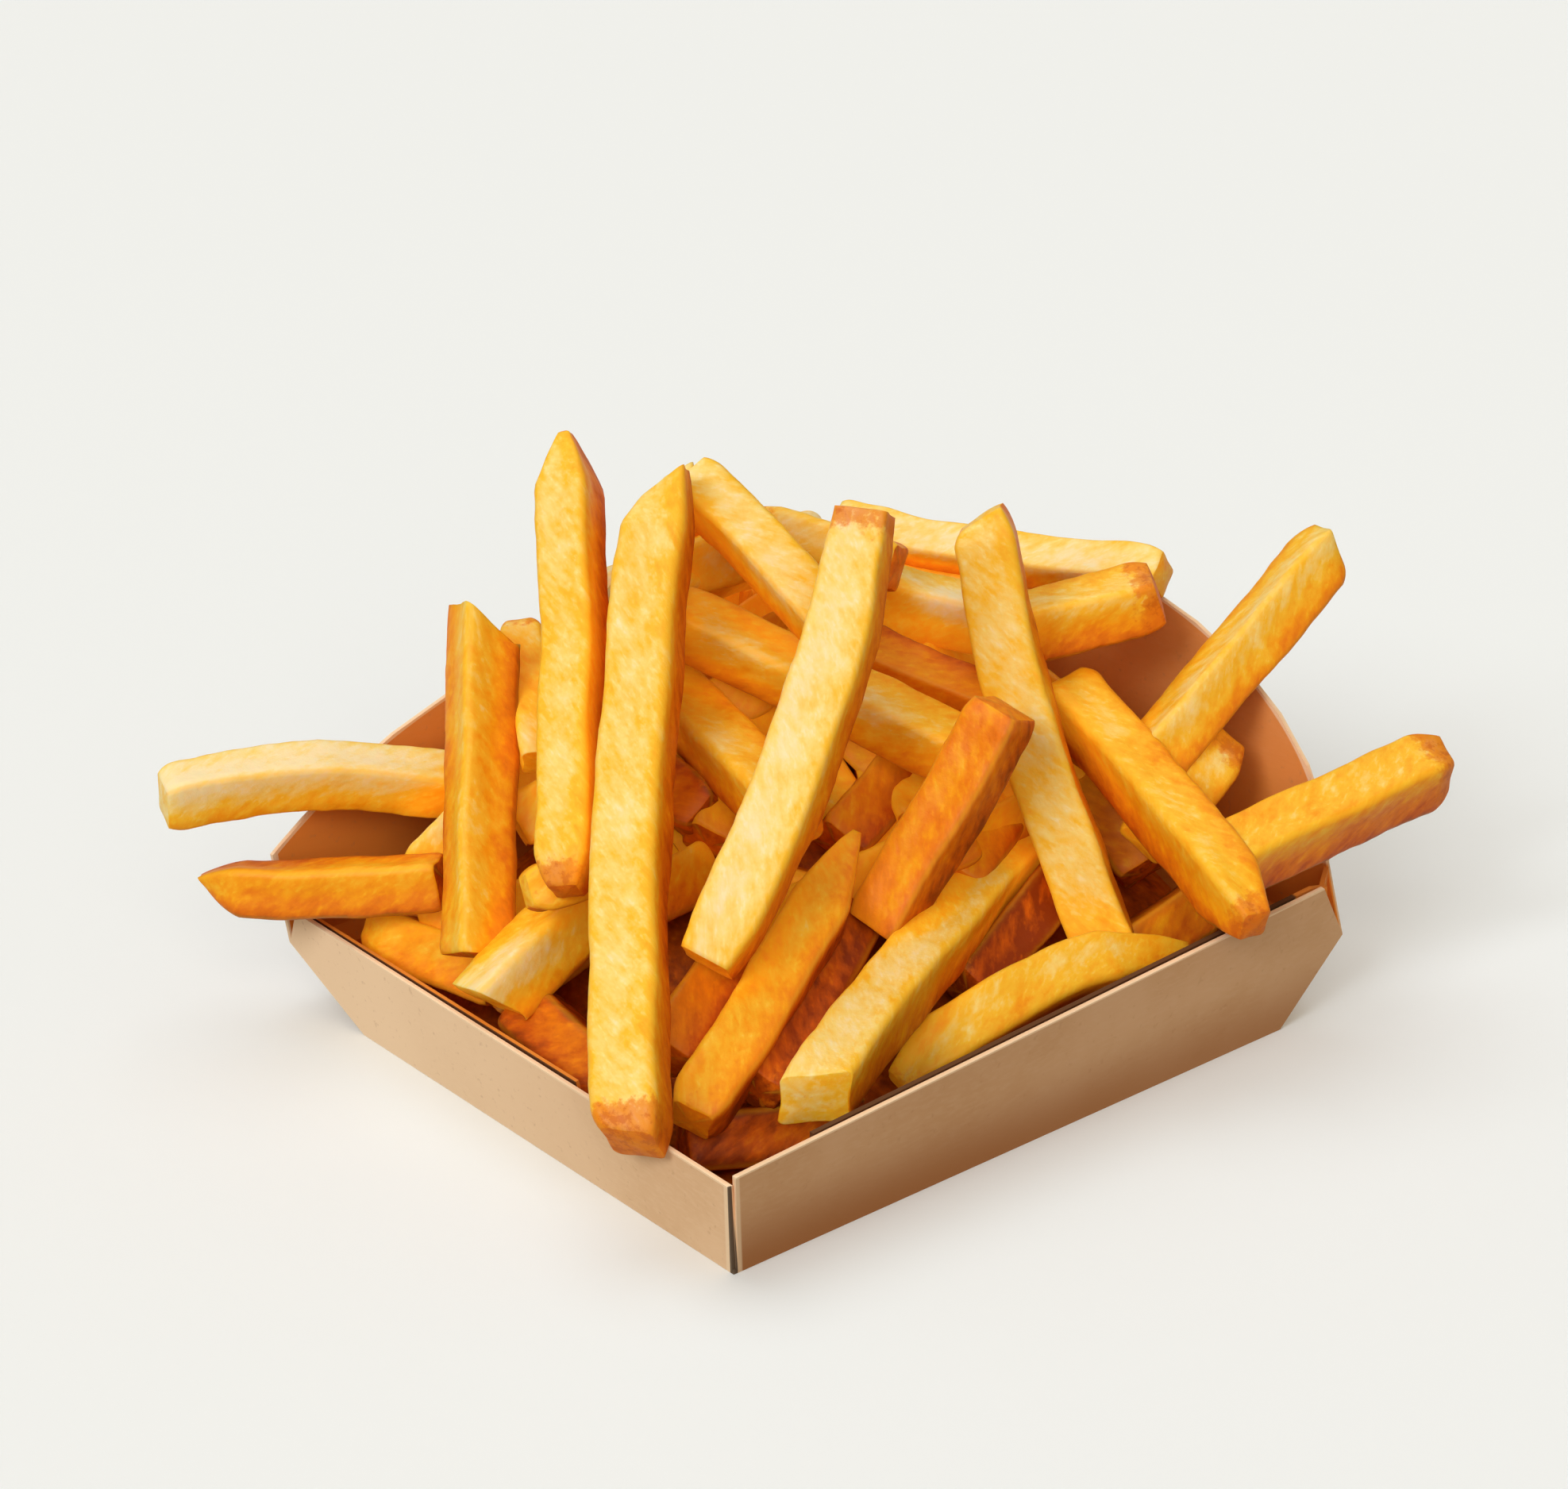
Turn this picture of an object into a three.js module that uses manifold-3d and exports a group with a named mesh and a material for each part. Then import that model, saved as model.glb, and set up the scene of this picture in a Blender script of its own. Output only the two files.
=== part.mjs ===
// French fries in a kraft-board carton: a folded tray, and one heap of fries fused to a low core.
// Millimetres, +Z up. The origin is the centre of the floor's underside. +X runs along the front wall
// that faces -Y, and +Y along the front wall that faces -X. The two front walls are low, and the two
// back walls are tall, with arched tops.
import * as THREE from 'three';
import { mergeVertices } from 'three/addons/utils/BufferGeometryUtils.js';
import Module from 'manifold-3d';

const wasm = await Module();
wasm.setup();

// ---- driving dimensions ----
const FLOOR_X = 106; // floor, fold to fold, along X
const FLOOR_Y = 87; // floor, fold to fold, along Y
const BOARD = 0.7; // thickness of the board
const LEAN = 0.15; // outward lean of the front walls, mm for each mm of height
const FLAP_IN = 1.5; // from the outside of a front wall to the outside of the flap behind it
const CLEAR = 0.3; // gap between the fries and the board
const CREASE_LEFT = { y: 60.5, z: 9.4 }; // fold between strip and panel of the wall that faces +Y
const CREASE_RIGHT = { x: 63.4, z: 13.4 }; // the same on the wall that faces +X
const ARCH_LEFT = { from: -56.9, to: CREASE_RIGHT.x, foot: 25, top: 45.8 };
const ARCH_RIGHT = { from: -42, to: CREASE_LEFT.y, foot: 24, top: 57 };
const ARCH_STEPS = 14; // straight pieces in each arched top

const FRONT_LEFT_TOP = { at: -45, z: 15.2, slope: 0.009 }; // top edge of the wall that faces -X
const FRONT_RIGHT_TOP = { at: -54.6, z: 16.7, slope: 0.063 }; // the same on the wall that faces -Y
const STRIP_LEFT_FROM = -54.4; // where the fold of the left strip begins, beyond the front wall
const STRIP_RIGHT_FROM = -45.5; // the same on the right
const TURN = { from: [63.4, -42], to: [58.4, -45.4], foot: 14, topFrom: 23.6, topTo: 22.4 };

const CORNER = 0.22; // how much of each corner of a fry's section is cut off
const INNER_RINGS = 3; // rings between the two ends of a bent fry
const CORE_FOOT = 2; // height of the core where it meets the front walls
const CORE_RISE = 38; // rise of its top over that
const CORE_WAVE_X = 157; // length of the half wave that shapes it along X
const CORE_WAVE_Y = 140; // and along Y
const CORE_FROM = [-50, -40.5]; // its front corner
const CORE_SIZE = [110, 97.5]; // its extent along X and along Y
const CORE_CELLS = [12, 10]; // cells of its grid along X and along Y
const CORE_LIFT = 1; // gap between its underside and the flared strips
const UNEVEN = 0.05; // how far each row of its grid strays from the one before
const FILL_TRIES = 36; // places tried for the fries that lie deep in the heap
const FILL_SEED = 7;
const FILL_FROM = [-38, -28]; // their middles lie in a rectangle with this front corner
const FILL_SPAN = [84, 72]; // and this extent
const FILL_HALF = [23, 8]; // half the length of the first, and how much shorter the last is
const FILL_LIFT = [2, 12]; // least height over the core, and how much is drawn on top of that
const FILL_SECTION = [8.6, 8.4];
const FILL_LEFT = -46; // their ends stay between these planes, so that none shows on the front slope
const FILL_RIGHT = 56;
const FILL_FRONT = -25;
const FILL_BACK = 53;
const FILL_CORNER = -35; // least x + y of an end
const FILL_ROOM = 6; // least height of an end over the board
const FINEST = 0.1; // details of the joined heap smaller than this are left out

const HX = FLOOR_X / 2;
const HY = FLOOR_Y / 2;
const STRIP_LEFT = (CREASE_LEFT.y - HY) / CREASE_LEFT.z; // run of the lower strip for each mm it rises
const STRIP_RIGHT = (CREASE_RIGHT.x - HX) / CREASE_RIGHT.z;

// ---- closed meshes and solids ----
function closed(coordinates, faces) {
  return new wasm.Manifold(new wasm.Mesh({
    numProp: 3,
    vertProperties: new Float32Array(coordinates),
    triVerts: new Uint32Array(faces),
  }));
}

function toSolid(geometry) {
  const bare = geometry.clone();
  bare.deleteAttribute('normal');
  bare.deleteAttribute('uv');
  const merged = mergeVertices(bare, 1e-5);
  return closed(merged.attributes.position.array, merged.index.array);
}

const solidOf = (points, faces) => closed(points.flatMap((point) => point.toArray()), faces);

function toGeometry(solid) {
  const { vertProperties, triVerts } = solid.getMesh();
  const geometry = new THREE.BufferGeometry();
  geometry.setAttribute('position', new THREE.BufferAttribute(vertProperties.slice(), 3));
  geometry.setIndex([...triVerts]);
  geometry.computeVertexNormals();
  return geometry;
}

const joined = (solids) => solids.reduce((all, next) => all.add(next));

// The biggest closed body of a solid: scraps and sealed hollows are left behind.
function mainBody(solid) {
  const bodies = solid.decompose();
  return bodies.reduce((best, next) => (next.volume() > best.volume() ? next : best));
}

// ---- the carton ----
// A panel of board stands on `origin`, runs along `along` and leans by `lean` for each mm of height.
// Its outline is a list of [distance along, height]; its thickness goes inwards, which is along x up.
// `grow` makes it thicker on both sides, for the space that the fries keep clear of.
function panel(origin, along, lean, outline, grow = 0) {
  const u = new THREE.Vector3(...along);
  const v = new THREE.Vector3(...lean).add(new THREE.Vector3(0, 0, 1));
  const rise = v.length();
  v.normalize();
  const inward = new THREE.Vector3().crossVectors(u, v);
  const shape = new THREE.Shape(outline.map(([a, z]) => new THREE.Vector2(a, z * rise)));
  const geometry = new THREE.ExtrudeGeometry(shape, { depth: BOARD + 2 * grow, bevelEnabled: false });
  const place = new THREE.Matrix4().makeBasis(u, v, inward);
  place.setPosition(new THREE.Vector3(...origin).addScaledVector(inward, -grow));
  return toSolid(geometry.applyMatrix4(place));
}

const TO_LEFT = [0, 1, 0]; // along the wall that faces -X
const TO_FRONT = [-1, 0, 0]; // along the wall that faces -Y
const TO_BACK = [1, 0, 0]; // along the wall that faces +Y
const TO_RIGHT = [0, -1, 0]; // along the wall that faces +X
const UPRIGHT = [0, 0, 0];

// Height of the top edge of each front wall at a place along it.
const edgeHeight = ({ at, z, slope }, place) => z + (place - at) * slope;
const frontLeftTop = (y) => edgeHeight(FRONT_LEFT_TOP, y);
const frontRightTop = (x) => edgeHeight(FRONT_RIGHT_TOP, x);

// A circular arch: its height at a place between its two feet.
function roundArch({ from, to, foot, top }, at) {
  const half = (to - from) / 2;
  const rise = top - foot;
  const radius = (half * half + rise * rise) / (2 * rise);
  const off = at - (from + to) / 2;
  return top - radius + Math.sqrt(radius * radius - off * off);
}

// A fuller arch, half an ellipse that stands below the feet of the wall.
function fullArch({ from, to, foot, top }, at) {
  const half = (to - from) / 2;
  const off = (at - (from + to) / 2) / half;
  return foot + (top - foot) * Math.sqrt(Math.max(0, 1 - off * off));
}

// Points [along, height] of an arched edge, walked from `to` back to `from`, closer near the feet.
function archPoints(arch, height, sign) {
  const middle = (arch.from + arch.to) / 2;
  const half = (arch.to - arch.from) / 2;
  return Array.from({ length: ARCH_STEPS + 1 }, (_, i) => {
    const at = middle + half * Math.cos((Math.PI * i) / ARCH_STEPS);
    return [sign * at, height(arch, at)];
  });
}

function cartonPanels(grow = 0) {
  const leanLeft = [-LEAN, 0, 0];
  const leanFront = [0, -LEAN, 0];
  const floor = new THREE.BoxGeometry(FLOOR_X, FLOOR_Y, BOARD + grow);
  floor.translate(0, 0, (BOARD + grow) / 2);

  // The front walls: flared ends that rise to a corner at the side, and a plain mitre at the front.
  const frontLeft = [[-HY + 0.3, 0], [HY, 0], [CREASE_LEFT.y - 0.2, CREASE_LEFT.z], [56.8, 16.1],
    [-45.3, FRONT_LEFT_TOP.z]];
  const frontRight = [[HX - 0.8, 0], [-HX, 0], [-CREASE_RIGHT.x, CREASE_RIGHT.z], [-56.9, 23.7],
    [-FRONT_RIGHT_TOP.at, FRONT_RIGHT_TOP.z]];
  // The flaps behind them, a hair lower, and the tab that locks the front corner.
  const flapLeft = [[-12, 2], [46, 2], [59.9, 10.6], [59.9, 15.6], [-10, frontLeftTop(-10) - 0.2]];
  const flapRight = [[38, 2], [-54.6, 2], [-61.6, CREASE_RIGHT.z], [-59.4, 22.6],
    [-56, frontRightTop(56) - 0.2], [40, frontRightTop(-40) - 0.3]];
  const cornerTab = [[-43.6, 0.3], [-31, 0.3], [-33, 12], [-45, 14]];

  const cornerX = HX + CREASE_LEFT.z * STRIP_RIGHT; // where the two lower strips end at the back corner
  const stripLeft = [[-HX, 0], [HX, 0], [cornerX, CREASE_LEFT.z], [STRIP_LEFT_FROM, CREASE_LEFT.z]];
  const backLeft = [[STRIP_LEFT_FROM, CREASE_LEFT.z], [cornerX, CREASE_LEFT.z],
    [CREASE_RIGHT.x, CREASE_RIGHT.z], ...archPoints(ARCH_LEFT, roundArch, 1)];
  const stripRight = [[HY, 0], [-HY, 0], [-CREASE_LEFT.y, CREASE_LEFT.z],
    [-CREASE_LEFT.y, CREASE_RIGHT.z], [-STRIP_RIGHT_FROM, CREASE_RIGHT.z]];
  const backRight = [[-CREASE_LEFT.y, CREASE_RIGHT.z],
    ...archPoints(ARCH_RIGHT, fullArch, -1), [-STRIP_RIGHT_FROM, CREASE_RIGHT.z]];

  // The narrow turn of board from the tall right wall into the flap behind the low front wall.
  const turnFrom = new THREE.Vector3(...TURN.from, 0);
  const turnTo = new THREE.Vector3(...TURN.to, 0);
  const turnAlong = turnTo.clone().sub(turnFrom).normalize();
  const turnLength = turnTo.distanceTo(turnFrom);
  const turn = [[0, TURN.foot], [turnLength, TURN.foot], [turnLength, TURN.topTo], [0, TURN.topFrom]];

  return [
    toSolid(floor),
    panel([-HX, 0, 0], TO_LEFT, leanLeft, frontLeft, grow),
    panel([0, -HY, 0], TO_FRONT, leanFront, frontRight, grow),
    panel([-HX + FLAP_IN, 0, 0], TO_LEFT, leanLeft, flapLeft, grow),
    panel([0, -HY + FLAP_IN, 0], TO_FRONT, leanFront, flapRight, grow),
    panel([-HX + BOARD * 0.9, 0, 0], TO_LEFT, leanLeft, cornerTab, grow),
    panel([0, HY, 0], TO_BACK, [0, STRIP_LEFT, 0], stripLeft, grow),
    panel([0, CREASE_LEFT.y, 0], TO_BACK, UPRIGHT, backLeft, grow),
    panel([HX, 0, 0], TO_RIGHT, [STRIP_RIGHT, 0, 0], stripRight, grow),
    panel([CREASE_RIGHT.x, 0, 0], TO_RIGHT, UPRIGHT, backRight, grow),
    panel(turnFrom.toArray(), turnAlong.toArray(), UPRIGHT, turn, grow),
  ];
}

// ---- the fries ----
// The broad faces turn this way: up, and out over the front corner.
const FACE = new THREE.Vector3(-0.586, -0.696, 0.415);

// [name, foot, tip, bow at the middle, [width, depth], roll in degrees, foot end, tip end]
// An end is [length of its taper, scale of the end face, slant of the end face].
const FRIES = [
  // those that hang or lean out of the tray
  ['out_left_high', [-28, 47.6, 31.7], [-71, 67.1, 35.6], [0, 1, 2.7], [8, 8], -38, [2, 0.8, 0], [3, 0.7, -1]],
  ['out_left_low', [-43, 35, 26], [-67, 62.5, 22], [0, 0, -1], [7.8, 7.6], -14, [2, 0.8, 0], [6, 0.3, 3]],
  ['out_right_high', [44, -22, 38.5], [76.5, -27, 67], [0, 0, 0], [8.3, 8.3], 20, [2, 0.8, 0], [4, 0.65, -3]],
  ['out_right_low', [39, -42, 31], [81, -48, 37.5], [0, 0, 0], [9, 9.4], -40, [2, 0.8, 0], [5, 0.6, -2]],
  ['over_front_right', [35.5, -53.5, 27], [42, -6, 46], [1, -1.5, -1], [8.8, 10.4], 28, [10, 0.45, 0], [3, 0.7, 0]],
  ['over_front_left', [-60, -31, 17], [-11, 22.5, 84], [0.5, 4.5, -5.5], [9.8, 9.6], -14, [5, 0.7, -3], [7, 0.55, 6]],
  // the tall ones in the middle
  ['tall_left', [-47.5, 21.5, 20], [-31, 40, 61.5], [0.5, 0.5, 0.5], [9, 8.6], 29, [2, 0.8, 0], [3, 0.95, -8]],
  ['tallest', [-44.2, 3.8, 36.1], [-13, 43, 86.6], [1, -0.5, -1.5], [8.2, 8.6], -20, [6, 0.45, 0], [9, 0.15, 0]],
  ['behind_tallest', [-32, 25, 45], [-22, 44, 58], [0, 0, 0], [6.6, 6], 10, [2, 0.8, 0], [3, 0.5, 0]],
  ['behind_long', [-23.2, 12.4, 59.5], [0.3, 34, 79], [0, 0, 0], [8, 8], 0, [2, 0.8, 0], [8, 0.5, 4]],
  ['peak_slope', [5, 0, 62], [-3.5, 27, 82], [0, 0, 0], [7.8, 7.8], 23, [2, 0.8, 0], [3, 0.7, 0]],
  ['bent_centre', [-35, -15.5, 29.5], [4, -4, 84], [3, -1.5, -1], [9.6, 9.4], -14, [7, 0.75, 0], [18, 0.8, 0]],
  ['tall_right', [30.5, -29, 15.5], [29, -1, 76], [-1, 2, -0.5], [9.2, 8.4], -10, [2, 0.95, 0], [4, 0.6, 3]],
  // the top of the heap, towards the back corner
  ['top_far', [43.6, 47.7, 56], [62.6, -6.3, 59.5], [0, 0, -1], [6.6, 6.6], -30, [2, 0.8, 0], [3, 0.7, 0]],
  ['top_near', [34, 3, 54], [54.5, -13, 61], [0, 0, -0.5], [9, 9], 30, [2, 0.8, 0], [4, 0.75, 0]],
  ['top_middle', [24, 33, 57], [40, 4, 53.5], [0, 0, 0], [8.8, 8.8], 32, [2, 0.8, 0], [2, 0.8, 0]],
  ['top_stub', [26, 13.2, 64], [16, 34.2, 67], [0, 0, 0], [7.6, 8], 0, [2, 0.8, 0], [4, 0.7, 0]],
  ['cross_high', [18, -14.2, 43.3], [-9, 24.8, 61.8], [2, -1, -0.5], [8.5, 8.7], -42, [2, 0.8, 0], [2, 0.8, 0]],
  ['cross_thin', [33, 4, 44], [27, 23, 49], [0, 0, 0], [6.2, 6.2], 20, [2, 0.8, 0], [2, 0.8, 0]],
  ['cross_low', [-13, -10, 42], [-8, 28, 50], [0, 0, 0], [9, 9], 32, [2, 0.8, 0], [2, 0.8, 0]],
  // the front slope
  ['slope_right', [-3, -15, 24], [16, -21, 56], [1, 0, 0], [8.8, 8.6], -25, [3, 0.8, 0], [3, 0.8, 0]],
  ['slope_left', [-46.5, -26.5, 13.5], [-1, -9, 37], [0.5, 0, -1], [8.8, 8.6], -12, [4, 0.6, 0], [14, 0.15, 0]],
  ['slope_front', [-35.5, -39, 18.5], [33, -9, 25], [0, 1, 0], [9, 8.8], -33, [3, 0.9, 6], [3, 0.8, 0]],
  ['rim_right', [-10.7, -28.2, 7.3], [38.2, -38.1, 16.7], [0, 1, 4], [8.4, 7.6], -20, [9, 0.4, 0], [15, 0.15, 0]],
  ['rim_left', [-51, 14, 17], [-28, 15, 29], [0, 0, 0], [9.4, 9.4], 27, [1.5, 0.95, 5], [2, 0.8, 0]],
  ['rim_left_upper', [-46, 11.5, 34], [-29.5, 6.5, 35.5], [0, 0, 0], [7, 7], 0, [3, 0.5, 0], [2, 0.8, 0]],
  ['wall_left', [-41, 23, 13], [-48, 49, 14], [0, 0, 0], [8.4, 8.4], 0, [2, 0.8, 0], [6, 0.3, 0]],
  ['wall_front', [-45, -12, 10], [-44, 15, 13], [0, 0, 0], [8.8, 8.8], 0, [2, 0.8, 0], [2, 0.8, 0]],
  ['wall_right', [36, -28, 12], [57, -29, 18], [0, 0, 0], [8.4, 8.4], 0, [2, 0.8, 0], [2, 0.8, 0]],
  ['wall_far', [39, -27, 29], [58, -25.5, 40], [0, 0, 0], [8.4, 8], 0, [2, 0.8, 0], [6, 0.5, 0]],
  // the ones deep between them
  ['deep_left_high', [-15, 8, 37], [-15, 25, 40], [0, 0, 0], [8.4, 8.4], 10, [3, 0.6, 0], [2, 0.8, 0]],
  ['deep_left_low', [-15, 9, 29], [-32, 4, 30], [0, 0, 0], [8.4, 8.4], 0, [3, 0.6, 0], [2, 0.8, 0]],
  ['deep_left', [-41, 44, 23], [-19, 32, 47], [0, 0, 0], [8.8, 8.8], 0, [3, 0.7, 0], [2, 0.8, 0]],
  ['deep_front', [-43, -16, 18], [-26, -10, 25], [0, 0, 0], [8.2, 8.2], 0, [2, 0.8, 0], [2, 0.8, 0]],
  ['deep_middle', [-35, -27, 14], [-1, -9, 24], [0, 0, 0], [8.4, 8.4], 0, [3, 0.7, 0], [3, 0.8, 0]],
  ['deep_centre', [0, -3, 32], [18, 1, 40], [0, 0, 0], [8.4, 8.4], 0, [2, 0.8, 0], [2, 0.8, 0]],
  ['deep_right', [7, -24, 14], [34, -16, 22], [0, 0, 0], [8, 8], 0, [2, 0.8, 0], [2, 0.8, 0]],
  ['deep_right_high', [46, -21, 20], [47, -6, 30], [0, 0, 0], [8, 8], 0, [2, 0.8, 0], [2, 0.8, 0]],
  ['corner_front', [-20, -32, 6], [-44, -21, 7], [0, 0, 0], [8.4, 8.4], 0, [2, 0.8, 0], [2, 0.8, 0]],
  // the back of the heap, against the tall walls
  ['back_left_low', [-32, 51, 30.5], [22, 53.5, 38], [0, 0, 1], [8.6, 8.4], 10, [3, 0.7, 0], [3, 0.8, 0]],
  ['back_left_high', [-14, 44, 50], [34, 50, 49], [0, 1, 2], [8.4, 8.2], 20, [3, 0.7, 0], [4, 0.6, 0]],
  ['back_left_rest', [-32, 40, 39.5], [2, 53, 45], [0, 0, 0], [8.6, 8.6], -10, [3, 0.8, 0], [3, 0.6, 0]],
  ['back_corner', [28, 26, 46], [65, 66, 34], [0, 0, 1], [8.8, 8.6], 15, [3, 0.8, 0], [6, 0.5, 2]],
  ['back_right_low', [53, 48, 28], [56, 2, 34], [0, 0, 0], [8.6, 8.4], 0, [3, 0.8, 0], [3, 0.7, 0]],
  ['back_right_high', [38, 46, 47.8], [57.5, 14, 48], [0, 0, 1], [8.4, 8.4], 25, [3, 0.8, 0], [4, 0.6, 0]],
  ['back_middle', [-10, 34, 62], [32, 39, 59], [0, 0, 1], [8.4, 8.4], -20, [3, 0.7, 0], [3, 0.7, 0]],
  ['back_peak', [-8, 51, 54], [10, 26, 68], [0, 0, 0], [8.2, 8.2], 10, [4, 0.6, 0], [3, 0.8, 0]],
  ['back_stub', [14, 48, 54], [4, 38, 70], [0, 0, 0], [8.2, 8], 20, [3, 0.8, 0], [5, 0.5, -3]],
  ['inner_right', [24, 8, 46], [52, 22, 44], [0, 0, 0], [8.6, 8.4], 0, [3, 0.8, 0], [3, 0.8, 0]],
  ['inner_top', [33, -4, 43], [13, 22, 55], [0, 0, 0], [8.6, 8.4], -42, [3, 0.8, 0], [3, 0.8, 0]],
  ['inner_side', [44, -12, 38], [44, 3, 42], [0, 0, 0], [8, 8], 0, [2, 0.8, 0], [2, 0.8, 0]],
  ['inner_left', [-34, 30, 34], [4, 18, 50], [0, 0, 0], [8.6, 8.6], 0, [3, 0.8, 0], [3, 0.8, 0]],
];

const SECTION = [[0.5, 0.5 - CORNER], [0.5 - CORNER, 0.5], [CORNER - 0.5, 0.5], [-0.5, 0.5 - CORNER],
  [-0.5, CORNER - 0.5], [CORNER - 0.5, -0.5], [0.5 - CORNER, -0.5], [0.5, CORNER - 0.5]];

// One fry: an eight-sided section carried along a bowed centreline, with a tapered end at each side.
function fry([, foot, tip, bow, [wide, deep], roll, footEnd, tipEnd]) {
  const start = new THREE.Vector3(...foot);
  const run = new THREE.Vector3(...tip).sub(start);
  const bend = new THREE.Vector3(...bow);
  const length = run.length();
  const first = footEnd[0] / length;
  const last = 1 - tipEnd[0] / length;
  const places = first > 0 ? [0, first] : [0];
  if (bend.length() > 0) {
    for (let i = 1; i <= INNER_RINGS; i += 1) places.push(first + ((last - first) * i) / (INNER_RINGS + 1));
  }
  if (last < 1) places.push(last);
  places.push(1);

  const points = [];
  for (const t of places) {
    const centre = start.clone().addScaledVector(run, t).addScaledVector(bend, 4 * t * (1 - t));
    const ahead = run.clone().addScaledVector(bend, 4 * (1 - 2 * t)).normalize();
    const up = FACE.clone().addScaledVector(ahead, -FACE.dot(ahead)).normalize();
    up.applyAxisAngle(ahead, THREE.MathUtils.degToRad(roll));
    const side = new THREE.Vector3().crossVectors(ahead, up);
    const end = t === 0 ? footEnd : tipEnd;
    const [scale, slant] = t === 0 || t === 1 ? [end[1], end[2]] : [1, 0];
    for (const [a, b] of SECTION) {
      points.push(centre.clone().addScaledVector(side, a * wide * scale)
        .addScaledVector(up, b * deep * scale).addScaledVector(ahead, slant * a));
    }
  }
  const sides = SECTION.length;
  const faces = [];
  for (let ring = 0; ring < places.length - 1; ring += 1) {
    for (let k = 0; k < sides; k += 1) {
      const a = ring * sides + k;
      const b = ring * sides + ((k + 1) % sides);
      faces.push(a, b + sides, b, a, a + sides, b + sides);
    }
  }
  const tipRing = points.length - sides;
  for (let k = 1; k < sides - 1; k += 1) {
    faces.push(0, k, k + 1, tipRing, tipRing + k + 1, tipRing + k);
  }
  return solidOf(points, faces);
}

// The core rises from the front corner to a rounded top, and falls again towards the back corner.
function coreTop(x, y) {
  const alongX = Math.sin((Math.PI * (x + HX)) / CORE_WAVE_X);
  const alongY = Math.sin((Math.PI * (y + HY)) / CORE_WAVE_Y);
  return CORE_FOOT + CORE_RISE * (alongX * alongY) ** 1.5;
}

// Its underside lies on the floor, and over the flared strips at the back.
function coreBottom(x, y) {
  const overLeft = (y - HY + 2 * BOARD) / STRIP_LEFT + CORE_LIFT;
  const overRight = (x - HX + 2 * BOARD) / STRIP_RIGHT + CORE_LIFT;
  return Math.max(BOARD + CLEAR, overLeft, overRight);
}

function core() {
  const [across, along] = CORE_CELLS;
  const points = [];
  for (const height of [coreBottom, coreTop]) {
    for (let j = 0; j <= along; j += 1) {
      for (let i = 0; i <= across; i += 1) {
        const x = CORE_FROM[0] + (CORE_SIZE[0] * i) / across + UNEVEN * j;
        const y = CORE_FROM[1] + (CORE_SIZE[1] * j) / along + UNEVEN * i;
        points.push(new THREE.Vector3(x, y, height(x, y) + UNEVEN * 0.5 * (i + j * 0.6)));
      }
    }
  }
  const row = across + 1;
  const layer = row * (along + 1);
  const faces = [];
  for (let j = 0; j < along; j += 1) {
    for (let i = 0; i < across; i += 1) {
      const a = j * row + i;
      const [b, c, d] = [a + 1, a + row + 1, a + row];
      faces.push(a, c, b, a, d, c);
      faces.push(layer + a, layer + b, layer + c, layer + a, layer + c, layer + d);
    }
  }
  const edge = [];
  for (let i = 0; i < across; i += 1) edge.push(i);
  for (let j = 0; j < along; j += 1) edge.push(j * row + across);
  for (let i = across; i > 0; i -= 1) edge.push(along * row + i);
  for (let j = along; j > 0; j -= 1) edge.push(j * row);
  edge.forEach((a, k) => {
    const b = edge[(k + 1) % edge.length];
    faces.push(a, b, layer + b, a, layer + b, layer + a);
  });
  return solidOf(points, faces);
}

// Seeded draws between 0 and 1, for the fries that lie deep in the heap.
function draws(seed) {
  let state = seed;
  return () => {
    state = (state * 16807) % 2147483647;
    return state / 2147483647;
  };
}

const mayHoldEnd = ([x, y]) => x > FILL_LEFT && x < FILL_RIGHT && y > FILL_FRONT && y < FILL_BACK
  && x + y > FILL_CORNER;

// The fries deep in the heap: longest first, each a little over the core, and clear of the board.
function deepFries() {
  const draw = draws(FILL_SEED);
  const rows = [];
  for (let i = 0; i < FILL_TRIES; i += 1) {
    const x = FILL_FROM[0] + FILL_SPAN[0] * draw();
    const y = FILL_FROM[1] + FILL_SPAN[1] * draw();
    const turn = Math.PI * draw();
    const lift = FILL_LIFT[0] + FILL_LIFT[1] * draw();
    const half = FILL_HALF[0] - (FILL_HALF[1] * i) / FILL_TRIES;
    const [dx, dy] = [half * Math.cos(turn), half * Math.sin(turn)];
    const ends = [[x - dx, y - dy], [x + dx, y + dy]];
    if (!ends.every(mayHoldEnd)) continue;
    const [foot, tip] = ends.map(([a, b]) => [a, b, coreTop(a, b) + lift]);
    if ([foot, tip].every(([a, b, z]) => z - coreBottom(a, b) > FILL_ROOM)) {
      rows.push(['deep', foot, tip, [0, 0, 0], FILL_SECTION, 0, [0, 1, 0], [0, 1, 0]]);
    }
  }
  return rows;
}

const board = joined(cartonPanels(CLEAR));
const carton = mainBody(joined(cartonPanels()));
const pile = joined([core(), ...[...FRIES, ...deepFries()].map(fry)]).subtract(board);
const heap = mainBody(pile.simplify(FINEST));

const materials = {
  carton: new THREE.MeshStandardMaterial({ color: 0xcfa57a, roughness: 0.85, metalness: 0 }),
  fries: new THREE.MeshStandardMaterial({ color: 0xe8b24a, roughness: 0.6, metalness: 0 }),
};
const group = new THREE.Group();
for (const [name, solid] of Object.entries({ carton, fries: heap })) {
  const mesh = new THREE.Mesh(toGeometry(solid), materials[name]);
  mesh.name = name;
  group.add(mesh);
}
export default group;
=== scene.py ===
# %% [markdown]
# # French fries in a folded board carton
#
# Two things make this object: a shallow tray folded from brown board, and a heap of thick-cut fries
# that stand and lie in it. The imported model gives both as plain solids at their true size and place.
# This lesson keeps those places and makes the surfaces: rounded potato sticks with crisp edges and
# ends, and board with fibres, folds and pale cut edges.

import bpy
import numpy as np
from mathutils import Matrix, Vector


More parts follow.
